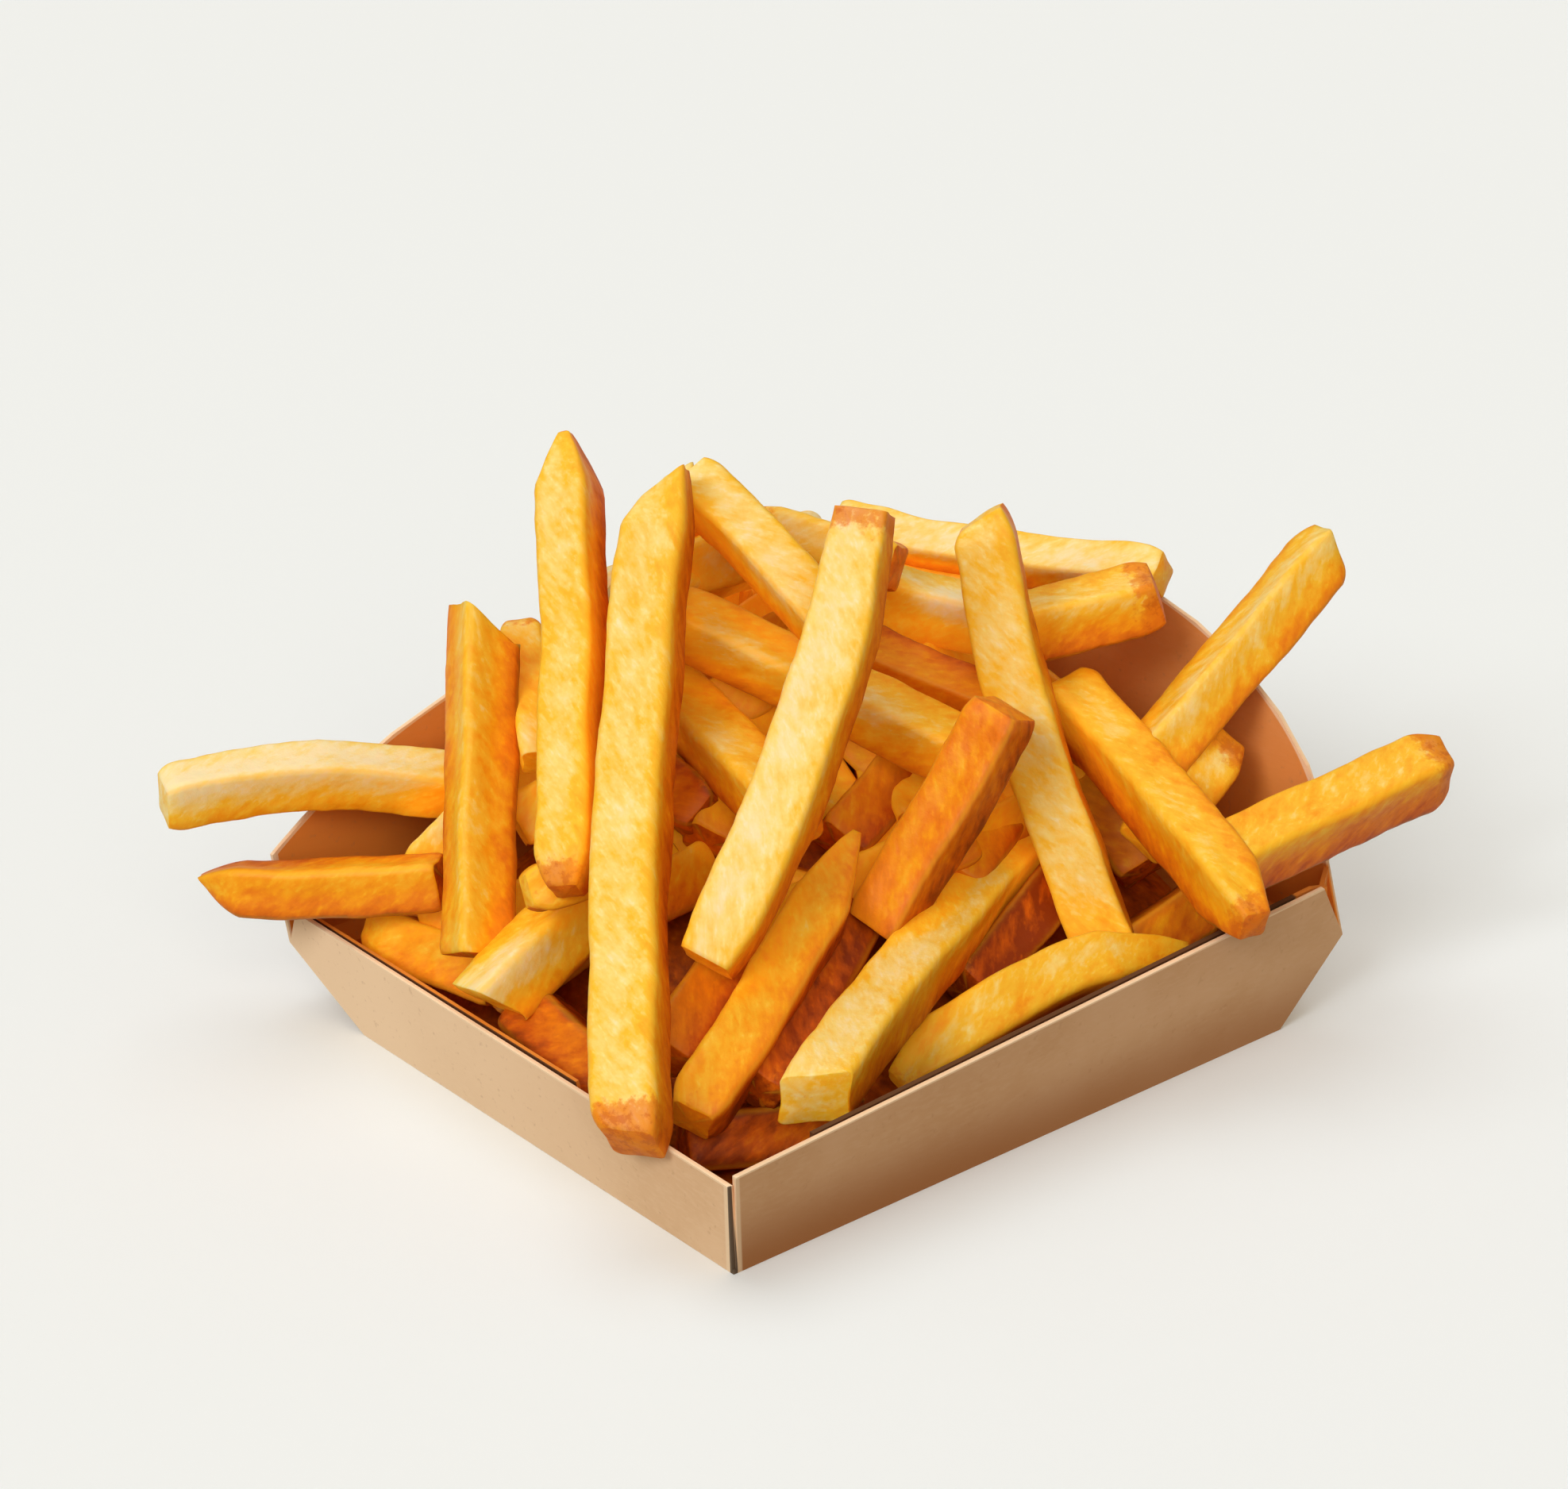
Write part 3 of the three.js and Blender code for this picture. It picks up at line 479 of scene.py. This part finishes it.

# %% [markdown]
# ## Tone and crispness
#
# No two fries look alike. Those on top are pale straw with golden edges, those deep in the heap are
# amber, partly as painted shade, and a few ends are browned. Each fry gets a tone, from 0.3, pale,
# over 0.8, golden, to past 1, dark amber, and each end a crispness, which past 1 also reaches further
# along the stick. The tone is lowered on faces that turn to the upper left and raised on those that
# turn away, as painted light and shade. The points carry the two and their nearness to an edge as one
# mark of three numbers, which the material separates.

# %% The tones of the fries
PAINTED_LIGHT_SIDE = unit(np.array([-0.6, -0.2, 0.8]))  # painted light: faces that turn this way are painted paler, those that turn away darker
BROWNED = 4.5  # how far along a stick the browning of an end reaches, in mm
USUAL_LOOK, DEEP_LOOK = (0.6, 0.25, 0.25), (0.85, 0.3, 0.3)  # of the fries that have none of their own; the deep ones are darker, partly as painted shade

# the tones are partly each fry's own colour and partly painted light and shade: fries low and deep in the heap are
# darker, those at the back paler
# name: tone, crispness of the foot, crispness of the tip
LOOKS = {
    "out_left_high": (0.38, 0.2, 0.3), "out_left_low": (0.85, 0.2, 0.3),
    "out_right_high": (0.68, 0.2, 0.3), "out_right_low": (0.78, 0.2, 1.8),
    "over_front_right": (0.8, 1.1, 0.2), "over_front_left": (0.64, 1.5, 0.2),
    "tall_left": (0.75, 0.2, 0.2), "tallest": (0.7, 1.2, 0.4),
    "behind_tallest": (0.56, 0.2, 0.6), "behind_long": (0.45, 0.2, 0.3),
    "peak_slope": (0.55, 0.2, 0.2), "bent_centre": (0.56, 0.2, 1.0),
    "tall_right": (0.58, 0.3, 0.2), "top_far": (0.5, 0.2, 0.3),
    "top_near": (0.74, 0.2, 1.1), "top_middle": (0.5, 0.3, 0.3),
    "top_stub": (0.75, 0.3, 0.8), "cross_high": (0.66, 0.3, 0.3),
    "cross_low": (0.75, 0.4, 0.3), "slope_right": (0.93, 0.5, 0.3),
    "slope_left": (0.82, 0.5, 0.4), "slope_front": (0.6, 0.3, 0.3),
    "rim_right": (0.75, 0.6, 0.4), "rim_left": (0.55, 0.2, 0.2),
    "wall_left": (0.86, 0.4, 0.8), "wall_front": (1.08, 0.4, 0.5),
    "wall_right": (0.96, 0.4, 0.5), "wall_far": (0.62, 0.5, 1.5),
    "deep_left_high": (1.05, 0.5, 0.3), "deep_left_low": (0.75, 0.5, 0.3),
    "deep_front": (0.92, 0.5, 0.3), "deep_middle": (1.2, 0.5, 0.3),
    "deep_centre": (0.95, 0.5, 0.3), "deep_right": (1.34, 0.5, 0.3),
    "deep_right_high": (1.0, 0.5, 0.3), "corner_front": (1.22, 0.6, 0.5),
    "cross_thin": (0.75, 0.3, 0.3), "rim_left_upper": (0.6, 0.4, 0.3),
    "inner_left": (0.7, 0.3, 0.3), "inner_top": (0.96, 0.3, 0.3),
    "inner_side": (0.9, 0.3, 0.3), "inner_right": (0.6, 0.3, 0.3),
    "back_middle": (0.3, 0.3, 0.3), "back_peak": (0.45, 0.3, 0.3),
    "back_left_high": (0.4, 0.3, 0.3), "back_right_high": (0.4, 0.3, 0.3),
}


def fry_marks(row, rng, points, outward, potato, edge):
    """How golden each point is, how crisp, and how near an edge; and how crowded it is there.

    The gold is the fry's tone less a share of how far the point faces the upper left, which is
    painted light: paler on faces turned to the light, darker on those turned away. The crispness of
    each end falls off along the stick as a bell curve.
    """
    name, foot, tip = row[:3]
    tone, crisp_foot, crisp_tip = LOOKS.get(name, DEEP_LOOK if row in DEEP else USUAL_LOOK)
    tone = tone + rng.uniform(-0.04, 0.04)
    along = potato[:, 2]
    to_tip = np.linalg.norm(np.subtract(tip, foot)) - along
    crisp = crisp_foot * np.exp(-((along / BROWNED) ** 2)) + crisp_tip * np.exp(-((to_tip / BROWNED) ** 2))
    contrast = np.interp(tone, (0.8, 1.05), (0.42, 0.24))  # the painted light and shade on the sides of a dark fry differ less
    # painted light and shade: the tone is lowered where the point faces the upper left and raised where it faces away
    gold_and_painted_light = tone - contrast * (outward @ PAINTED_LIGHT_SIDE)
    return np.stack([gold_and_painted_light, np.clip(crisp, 0, 1), edge], axis=-1), crowd_at(points + REACH * outward)


print(len(LOOKS), "fries have a look of their own")


# %% Join the fries into a few pieces
def join_fries(name, rows, seed, rings=RINGS):
    """One mesh of many fries: their points are put end to end, and their faces are numbered on."""
    rng = np.random.default_rng(seed)
    quads, fans = tube_faces(rings + 2 * len(CAP_SHARES), AROUND)
    parts = []
    for row in rows:
        points, outward, potato, edge = fry_surface(row, rng, rings)
        fried_and_lit, crowd = fry_marks(row, rng, points, outward, potato, edge)
        far_off = rng.uniform(-500, 500, 3)  # so that no two fries share a pattern
        parts.append((points, potato + far_off, fried_and_lit, crowd))
    points, potato, fried_and_lit, crowd = [np.concatenate(part) for part in zip(*parts)]
    steps = (len(points) // len(rows) * np.arange(len(rows)))[:, None, None]
    marks = {"potato": potato, "fried_and_lit": fried_and_lit, "crowd": crowd}
    return put_mesh(name, points, (quads + steps).reshape(-1, 4), (fans + steps).reshape(-1, 3), marks)


FRONT_ROWS = [row for row in FRIES if row[0].startswith(("over", "slope", "rim", "wall", "corner", "deep"))]
BACK_ROWS = [row for row in FRIES if row[0].startswith(("back", "inner"))]
HIGH_ROWS = [row for row in FRIES if row not in FRONT_ROWS and row not in BACK_ROWS]
front_fries = join_fries("fries_front", FRONT_ROWS, seed=3)
high_fries = join_fries("fries_high", HIGH_ROWS, seed=5)
back_fries = join_fries("fries_back", BACK_ROWS, seed=8)
deep_pieces = join_fries("fries_deep", DEEP, seed=11, rings=30)

# %% [markdown]
# ## The core of the heap
#
# Below the fries that can be made out, the heap is only glimpsed through gaps. One closed mound
# stands for it: a grid for its top, the same grid let down to the board for its underside, and a
# rim between them.

# %% Make the core
CORE_MARK = (1.0, 0.2, 0.0)  # how golden and how crisp it is, and that it has no edges


def heap_core(columns=60, rows=50, sink=4):
    """A closed mound: top and bottom are two heights over one grid, joined along their outlines.

    The top lies `sink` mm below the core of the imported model, with small bumps, and the bottom just
    over the board. The top is never less than 0.4 mm over the bottom.
    """
    x, y = np.meshgrid(np.linspace(-49, 58, columns), np.linspace(-39.5, 55, rows), indexing="ij")
    low = core_bottom(x, y) + 0.6
    high = np.maximum(core_top(x, y) - sink + 0.8 * np.sin(x / 2.7) * np.sin(y / 3.1), low + 0.4)
    points = np.concatenate([np.stack([x, y, z], axis=-1).reshape(-1, 3) for z in (high, low)])
    i, j = np.meshgrid(np.arange(columns - 1), np.arange(rows - 1), indexing="ij")
    a = (i * rows + j).ravel()
    top = np.stack([a, a + rows, a + rows + 1, a + 1], axis=-1)
    bottom = top[:, ::-1] + columns * rows
    number = np.arange(columns * rows).reshape(columns, rows)
    outline = np.concatenate([number[:-1, 0], number[-1, :-1], number[:0:-1, -1], number[0, :0:-1]])
    after = np.roll(outline, -1)
    rim = np.stack([outline, outline + columns * rows, after + columns * rows, after], axis=-1)
    quads = np.concatenate([top, bottom, rim])
    crowd = crowd_at(points + np.array([0, 0, REACH]))
    marks = {"potato": points, "fried_and_lit": np.tile(CORE_MARK, (len(points), 1)), "crowd": crowd}
    return put_mesh("heap_core", points, quads, marks=marks)


core = heap_core()

# %% [markdown]
# ## Shader maths
#
# A material is a small program made of nodes. Wiring them by hand hides the formula, so one class
# wraps a socket and overloads the arithmetic operators: `1 - mask` adds a Math node and gives back
# its output, wrapped again. Any other node comes from one method of the material's class.

# %% Wires and materials
def srgb(red, green, blue):
    """A colour as a screen shows it, 0 to 255, turned into the light that a shader works with."""
    shown = np.array([red, green, blue]) / 255
    light = np.where(shown < 0.04045, shown / 12.92, ((shown + 0.055) / 1.055) ** 2.4)
    return (*(float(value) for value in light), 1.0)


class Wire:
    """A value in a material's node tree that can be added, subtracted, multiplied and so on."""

    def __init__(self, paint, socket):
        self.paint, self.socket = paint, socket

    def _math(self, operation, first, second):
        return self.paint.node("Math", {"operation": operation}, {0: first, 1: second})

    def __add__(self, other):
        return self._math("ADD", self, other)

    def __radd__(self, other):
        return self._math("ADD", other, self)

    def __sub__(self, other):
        return self._math("SUBTRACT", self, other)

    def __rsub__(self, other):
        return self._math("SUBTRACT", other, self)

    def __mul__(self, other):
        return self._math("MULTIPLY", self, other)

    def __rmul__(self, other):
        return self._math("MULTIPLY", other, self)

    def __truediv__(self, other):
        return self._math("DIVIDE", self, other)

    def __pow__(self, other):
        return self._math("POWER", self, other)

    def least(self, other):
        """The smaller of two values."""
        return self._math("MINIMUM", self, other)

    def ramp(self, low, high, start=0.0, end=1.0):
        """A smooth step: `start` below low, `end` above high."""
        settings = {"interpolation_type": "SMOOTHSTEP"}
        sockets = {"Value": self, "From Min": low, "From Max": high, "To Min": start, "To Max": end}
        return self.paint.node("MapRange", settings, sockets)


class Paint:
    """One material and its node tree, with a Principled shader at the end."""

    def __init__(self, name, **constants):
        self.material = bpy.data.materials.new(name)
        self.material.use_nodes = True
        self.tree = self.material.node_tree
        self.shader = next(n for n in self.tree.nodes if n.type == "BSDF_PRINCIPLED")
        for socket, value in constants.items():
            self.shader.inputs[socket.replace("_", " ")].default_value = value

    def node(self, kind, settings=None, sockets=None, output=0):
        """Adds a node, sets its settings first and then its sockets, and wraps one of its outputs."""
        made = self.tree.nodes.new("ShaderNode" + kind)
        for setting, value in (settings or {}).items():
            setattr(made, setting, value)
        for socket, value in (sockets or {}).items():
            self.feed(made.inputs[socket], value)
        return Wire(self, made.outputs[output])

    def feed(self, socket, value):
        """Links a wire to a socket, or sets the socket's own value."""
        if isinstance(value, Wire):
            self.tree.links.new(value.socket, socket)
        else:
            socket.default_value = value

    def xyz(self, wire):
        """The three parts of a vector, as three wires."""
        made = self.tree.nodes.new("ShaderNodeSeparateXYZ")
        self.feed(made.inputs[0], wire)
        return [Wire(self, socket) for socket in made.outputs]

    def vector(self, x, y, z):
        """A vector from three wires or numbers."""
        return self.node("CombineXYZ", sockets={0: x, 1: y, 2: z})

    def noise(self, where, scale, detail=2.0, roughness=0.5):
        """Smooth noise between 0 and 1 over a vector, `scale` cells to the unit."""
        sockets = {"Vector": where, "Scale": scale, "Detail": detail, "Roughness": roughness}
        return self.node("TexNoise", sockets=sockets)

    def blend(self, amount, first, second):
        """Two colours mixed by an amount from 0 to 1."""
        made = self.tree.nodes.new("ShaderNodeMix")
        made.data_type = "RGBA"
        for socket, value in zip((0, 6, 7), (amount, first, second)):
            self.feed(made.inputs[socket], value)
        return Wire(self, made.outputs[2])

    def scale(self, amount, stops):
        """A colour read off a scale of stops, given as {place: colour as a screen shows it}."""
        made = self.tree.nodes.new("ShaderNodeValToRGB")
        elements, last = made.color_ramp.elements, max(stops)
        while len(elements) < len(stops):
            elements.new(0.5)
        for element, (place, colour) in zip(elements, sorted(stops.items())):
            element.position, element.color = place / last, srgb(*colour)
        self.feed(made.inputs[0], amount * (1 / last))
        return Wire(self, made.outputs[0])

    def finish(self, colour, roughness, height, depth_mm):
        """Feeds the shader: its colour, its roughness, and a bump of the given depth."""
        self.feed(self.shader.inputs["Base Color"], colour)
        self.feed(self.shader.inputs["Roughness"], roughness)
        bump = self.node("Bump", sockets={"Height": height, "Distance": depth_mm * MM, "Strength": 1.0})
        self.feed(self.shader.inputs["Normal"], bump)
        return self.material


print("a middle grey on screen is light of", round(srgb(128, 128, 128)[0], 3))

# %% [markdown]
# ## Fried potato
#
# The broad faces are pale with slanting streaks and paler blotches, because starch dries unevenly.
# The edges fry to a clear golden yellow, and that golden band is partly a painted highlight as well.
# Browned ends are mottled with toasted spots. So one number says how fried and how lit a point is,
# summed from the fry's tone with painted light and shade from the way the point faces, the noises,
# the edges and painted amber shade from the crowding, and a scale of colours turns it into cream,
# gold or amber. That keeps all fries in one family. The pattern is worked out in each stick's own
# straight coordinates, so it follows the stick wherever it lies. Crowded places are also blended
# towards amber as painted shade, and crowded pale fries get a faint painted glow, which stands for
# light that comes through them. Fine blisters go into the bump.

# %% Fried potato
# how the surface looks as it fries, from pale to browned
FRYING = {0.0: (244, 227, 180), 0.2: (244, 214, 124), 0.38: (244, 191, 48), 0.56: (241, 161, 16),
          0.75: (230, 129, 12), 1.0: (202, 94, 9), 1.3: (138, 54, 9)}
# the golden edge is partly crust and partly a painted highlight, and the crowded colour is painted amber shade
EDGE_GOLD_AND_HIGHLIGHT, CROWD_SHADE = srgb(248, 188, 46), srgb(222, 104, 8)
TOASTED, DARK_SPOTS = srgb(224, 122, 15), srgb(196, 90, 12)
NO_GLOW, PAINTED_GLOW = srgb(0, 0, 0), srgb(120, 78, 8)  # painted glow, which stands for light that comes through crowded pale fries
BLISTERS = 0.14  # height of the blisters, in mm


def fried_potato():
    """Colour, roughness and blisters of fried potato, a little translucent, with painted light, shade, highlight and
    glow.
    """
    paint = Paint("fried_potato", IOR=1.4, Specular_IOR_Level=0.3, Emission_Strength=1,
                  Subsurface_Weight=0.35, Subsurface_Radius=(1.0, 0.5, 0.2), Subsurface_Scale=4 * MM)
    potato = paint.node("Attribute", {"attribute_name": "potato"}, output=1)
    gold_and_painted_light, crisp, edge = paint.xyz(paint.node("Attribute", {"attribute_name": "fried_and_lit"}, output=1))
    crowd = paint.node("Attribute", {"attribute_name": "crowd"}, output=2)
    x, y, z = paint.xyz(potato)

    slanting = paint.vector(x + z * 0.5, y - z * 0.5, z * 0.22)
    streaks = paint.noise(slanting, 0.6, detail=3.0)
    flecks = paint.noise(slanting, 1.3, detail=2.0).ramp(0.5, 0.75)
    blotches = paint.noise(potato, 0.13, detail=2.0)
    grain = paint.noise(potato, 0.85, detail=3.0, roughness=0.6)
    spots = paint.noise(potato, 0.55, detail=4.0, roughness=0.65)

    # the golden band along the edges: partly crust, partly a painted highlight
    ridge_gold_and_highlight = (edge + (grain - 0.5) * 0.4).ramp(0.2, 1.0)
    uneven = (streaks - 0.5) * gold_and_painted_light.ramp(0.5, 1.1, 0.5, 0.9) + (blotches - 0.5) * 0.35
    uneven = uneven + (grain - 0.5) * 0.2 - flecks * 0.1
    rim = edge.ramp(0.1, 0.8) * gold_and_painted_light.ramp(0.4, 0.9, 0.0, 0.3)
    # painted shade: crowded pale fries are pushed towards gold and amber
    painted_gap_shade = crowd.ramp(0.08, 0.5) * (0.12 + gold_and_painted_light.ramp(0.5, 0.0) * 0.3)
    colour = paint.scale(gold_and_painted_light + uneven + rim + painted_gap_shade, FRYING)
    colour = paint.blend(ridge_gold_and_highlight * gold_and_painted_light.ramp(0.5, 0.9, 0.5, 0.3), colour, EDGE_GOLD_AND_HIGHLIGHT)
    toasted = (crisp * 1.1 + spots * 1.8 - 1.4).ramp(0.0, 0.4)
    colour = paint.blend(toasted * 0.75, colour, TOASTED)
    colour = paint.blend((crisp * 0.9 + spots * 2.4 - 2.0).ramp(0.0, 0.35) * 0.6, colour, DARK_SPOTS)
    # painted shade: crowded places are blended towards amber
    colour = paint.blend(crowd.ramp(0.5, 0.95) * 0.35, colour, CROWD_SHADE)

    # painted glow in crowded pale fries, which stands for light that comes through them
    painted_glow = crowd.ramp(0.12, 0.5) * gold_and_painted_light.ramp(0.85, 0.5)
    paint.feed(paint.shader.inputs["Emission Color"], paint.blend(painted_glow, NO_GLOW, PAINTED_GLOW))
    roughness = 0.46 + (grain - 0.5) * 0.25 + toasted * 0.12
    height = grain * 0.6 + spots * 0.6 + streaks * 0.2
    return paint.finish(colour, roughness, height, BLISTERS)


potato_finish = fried_potato()
print(potato_finish.name, len(potato_finish.node_tree.nodes), "nodes")

# %% [markdown]
# ## Kraft board
#
# The board is brown paper pressed from long fibres, so its colour is nearly even, with faint clouds
# and fine fibres. It is paler along the cut edges and the front corner, and painted dark as shade in
# the slit at that corner and in the slots between the low walls and the flaps behind them. The low
# left wall is painted paler towards the side corner, as painted light, and the low right wall is
# painted darker and browner towards its foot, as painted shade. Inside the tray the board is more
# orange, more so low down: partly frying oil that it has soaked up, partly painted warm shade. Each
# wall is a leaning plane, so how deep a point lies under the outside of the tray follows from its
# place. That depth tells the inside from the outside, and with each wall's top edge it finds the
# cuts, with nothing to unwrap.

# %% Kraft board
LEAN = 0.15  # outward lean of the low walls, mm for each mm of height
TOP_LEFT = (-45, 15.2, 0.009)  # top of the low left wall: a place along y, its height, its slope
TOP_FRONT = (-54.6, 16.7, 0.063)  # the same of the low right wall, along x
ROUND_ARCH = (3.25, -51.6, 97.4)  # the arch of the tall left wall: x and z of its middle, its radius
WIDE_ARCH = (9.25, 24, 51.25, 33)  # that of the right one: y and z of its middle, half width, height
SLOT_FROM = 1.2  # the slots begin this deep under the outside of the low walls
SLOTS_TO = (1.6, 2.25)  # and end this deep, in the left and in the right one
SLOT_END_X, SLOT_END_Y = 52, 57  # where each stops before the side corner
BROWN, BROWN_CLOUD, FIBRE = srgb(218, 180, 138), srgb(230, 195, 156), srgb(234, 204, 168)
# the pale tan is painted light on the low left wall, the brown is painted shade on the low right wall, and the orange
# is partly oil and partly painted warm shade inside the tray
LIT_WALL, SHADED_WALL, OIL_AND_SHADE = srgb(250, 224, 190), srgb(164, 110, 66), srgb(228, 134, 30)
# the dark colour is painted shade in the slit and slots
FLECK, CUT, SHADE = srgb(170, 124, 82), srgb(246, 224, 192), srgb(58, 42, 32)
FIBRE_RELIEF = 0.06  # height of the fibres, in mm


def depth_behind(place, crease, half, z, strip):
    """How deep a point lies under a tall wall: the lesser of its depths under the upright panel and
    under the flared strip, each measured square to that plane."""
    return (crease - place).least((half + z * strip - place) / np.hypot(1, strip))


def top_edge(place, z, top):
    """1 along the top of a low wall, which rises in a straight line."""
    at, height, slope = top
    return (z - height - (place - at) * slope).ramp(-0.4, -0.2)


def within_board(depth):
    """1 where a depth is within the thickness of a wall."""
    return depth.ramp(BOARD + 0.1, BOARD)


def kraft_board():
    """Colour, roughness and fibres of brown carton board, with painted light and shade on its walls."""
    paint = Paint("kraft_board", IOR=1.45, Specular_IOR_Level=0.3)
    place = paint.node("TexCoord", output=3)
    x, y, z = [part * (1 / MM) for part in paint.xyz(place)]

    # how deep the point lies under the outside of each wall
    from_left, from_front = x + HALF_X + z * LEAN, y + HALF_Y + z * LEAN
    from_back = depth_behind(y, CREASE_LEFT[0], HALF_Y, z, STRIP_LEFT)
    from_right = depth_behind(x, CREASE_RIGHT[0], HALF_X, z, STRIP_RIGHT)
    inside = from_left.least(from_front).least(from_back).least(from_right).ramp(0.25, 0.45)

    # the cut edges
    middle_x, middle_z, radius = ROUND_ARCH
    round_arch = ((x - middle_x) ** 2 + (z - middle_z) ** 2) ** 0.5 - radius
    middle_y, middle_z, half_width, rise = WIDE_ARCH
    wide_arch = (((y - middle_y) / half_width) ** 2 + ((z - middle_z) / rise) ** 2) ** 0.5
    edges = [
        top_edge(y, z, TOP_LEFT) * within_board(from_left),
        top_edge(x, z, TOP_FRONT) * within_board(from_front),
        round_arch.ramp(-0.7, -0.5) * within_board(from_back),
        ((wide_arch - 1) * rise).ramp(-0.7, -0.5) * within_board(from_right) * z.ramp(23.5, 24.5),
    ]
    cut = (edges[0] + edges[1] + edges[2] + edges[3]).ramp(0.0, 1.0)

    # the paper itself, with painted light on the low left wall, painted shade on the low right wall, and oil and
    # painted warm shade inside
    fibres = paint.noise(paint.vector(x * 0.5, y * 0.5, z * 1.6), 1.0, detail=3.0)
    clouds = paint.noise(place, 45.0, detail=4.0)
    flecks = paint.noise(place, 900.0, detail=2.0).ramp(0.62, 0.78)
    colour = paint.blend(clouds.ramp(0.35, 0.65), BROWN, BROWN_CLOUD)
    colour = paint.blend(fibres.ramp(0.4, 0.75) * 0.35, colour, FIBRE)
    on_left, on_front = from_left.ramp(0.45, 0.25), from_front.ramp(0.45, 0.25)
    # painted light: the low left wall is paler towards the side corner
    colour = paint.blend(on_left * y.ramp(-40, 45, 0.15, 0.85), colour, LIT_WALL)
    # painted shade: the low right wall darkens towards its foot
    wall_shade = on_front * (1 - on_left) * z.ramp(0, 14, 1.0, 0.35) * x.ramp(-30, 60, 1.0, 0.8)
    colour = paint.blend(wall_shade, colour, SHADED_WALL)
    # partly oil, partly painted warm shade, stronger low inside the tray
    colour = paint.blend(inside * z.ramp(15, 50, 0.95, 0.72), colour, OIL_AND_SHADE)
    colour = paint.blend(flecks * 0.25, colour, FLECK)

    # pale cuts, a pale front corner, and painted shade in the slit and slots
    colour = paint.blend(cut * 0.7, colour, CUT)
    corner = (from_left**2 + from_front**2) ** 0.5
    colour = paint.blend(corner.ramp(1.7, 1.3) * 0.6, colour, CUT)
    left_slot, front_slot = [
        depth.ramp(SLOT_FROM, SLOT_FROM + 0.15) * depth.ramp(far + 0.15, far)
        for depth, far in zip((from_left, from_front), SLOTS_TO)
    ]
    slots = left_slot * from_front.ramp(1.0, 1.1) + front_slot * from_left.ramp(1.0, 1.1)
    slots = slots * x.ramp(SLOT_END_X + 1, SLOT_END_X) * y.ramp(SLOT_END_Y + 1, SLOT_END_Y)
    dark = (slots + corner.ramp(0.8, 0.65)).ramp(0.0, 1.0)
    colour = paint.blend(dark * 0.9, colour, SHADE)
    roughness = 0.78 + (fibres - 0.5) * 0.12
    return paint.finish(colour, roughness, fibres * 0.6 + clouds * 0.4, FIBRE_RELIEF)


board_finish = kraft_board()
print(board_finish.name, len(board_finish.node_tree.nodes), "nodes")

# %% [markdown]
# ## Dress the pieces
#
# The tray's shape is already right in the imported model, so its mesh stays and only gets the board
# finish. The imported heap is one solid of plain sticks, so the joined fries and the core stand in for
# it. Nothing here moves, so the fries and the core ride on the one body.

# %% Dress every piece and say what it stands for
def dress(piece, material):
    """Gives a piece its material and lets it ride on the one body."""
    piece.data.materials.clear()
    piece.data.materials.append(material)
    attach(piece, "root")


heap_pieces = (front_fries, high_fries, back_fries, deep_pieces, core)
for piece in heap_pieces:
    dress(piece, potato_finish)
    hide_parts("fries")
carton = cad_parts["carton"]
carton.data.materials.clear()
carton.data.materials.append(board_finish)
print("these stand for the heap:", [piece.name for piece in heap_pieces])

# %% [markdown]
# ## Floor and light
#
# A plain pale floor and soft light. The main light is large and high on the left, so the faces that
# turn left and up are bright, and the gaps between the fries fall into warm shade. A warm light from
# the front lifts the darker wall and the fries' lower sides, a high one from behind rounds off the
# tops, and warm surroundings fill the rest. The floor is faintly blue, so that it comes out neutral
# under warm light. It throws no light back onto the tray, which keeps the shade there warm.

# %% The floor
UNDER = -0.05  # height of the floor, in mm
FLOOR_COLOUR = (0.85, 0.93, 1.0, 1)


def pale_floor(half=3.0):
    """A flat square, a hair under the tray, with half its side in metres."""
    corners = np.array([[-1, -1, 0], [1, -1, 0], [1, 1, 0], [-1, 1, 0]]) * half / MM
    corners[:, 2] = UNDER
    floor = put_mesh("floor", corners, np.array([[0, 1, 2, 3]]))
    floor.data.materials.append(Paint("pale_floor", Base_Color=FLOOR_COLOUR, Roughness=0.9).material)
    floor.visible_diffuse = False  # it throws no light back
    return floor


pale_floor()


# %% The lights
def far_light(name, place, spread, power, colour):
    """A light from far away in the direction of a place, softened over an angle in degrees."""
    lamp = bpy.data.lights.new(name, "SUN")
    lamp.energy, lamp.angle, lamp.color = power, np.radians(spread), colour
    light = bpy.data.objects.new(name, lamp)
    light.rotation_euler = Vector(place).to_track_quat("Z", "Y").to_euler()
    bpy.context.scene.collection.objects.link(light)
    return light


far_light("key", (-0.8, -0.2, 0.6), 25, 1.4, (1.0, 0.99, 0.97))
far_light("warm_front", (-0.5, -0.65, 0.55), 40, 0.9, (1.0, 0.86, 0.68))
far_light("back_panel", (0.1, 0.35, 0.9), 50, 0.8, (1.0, 0.99, 0.97))
world = bpy.data.worlds.new("studio")
world.use_nodes = True
surroundings = world.node_tree.nodes["Background"].inputs
surroundings["Color"].default_value, surroundings["Strength"].default_value = (1.0, 0.84, 0.66, 1), 0.38
bpy.context.scene.world = world
bpy.context.scene.view_settings.view_transform = "Standard"
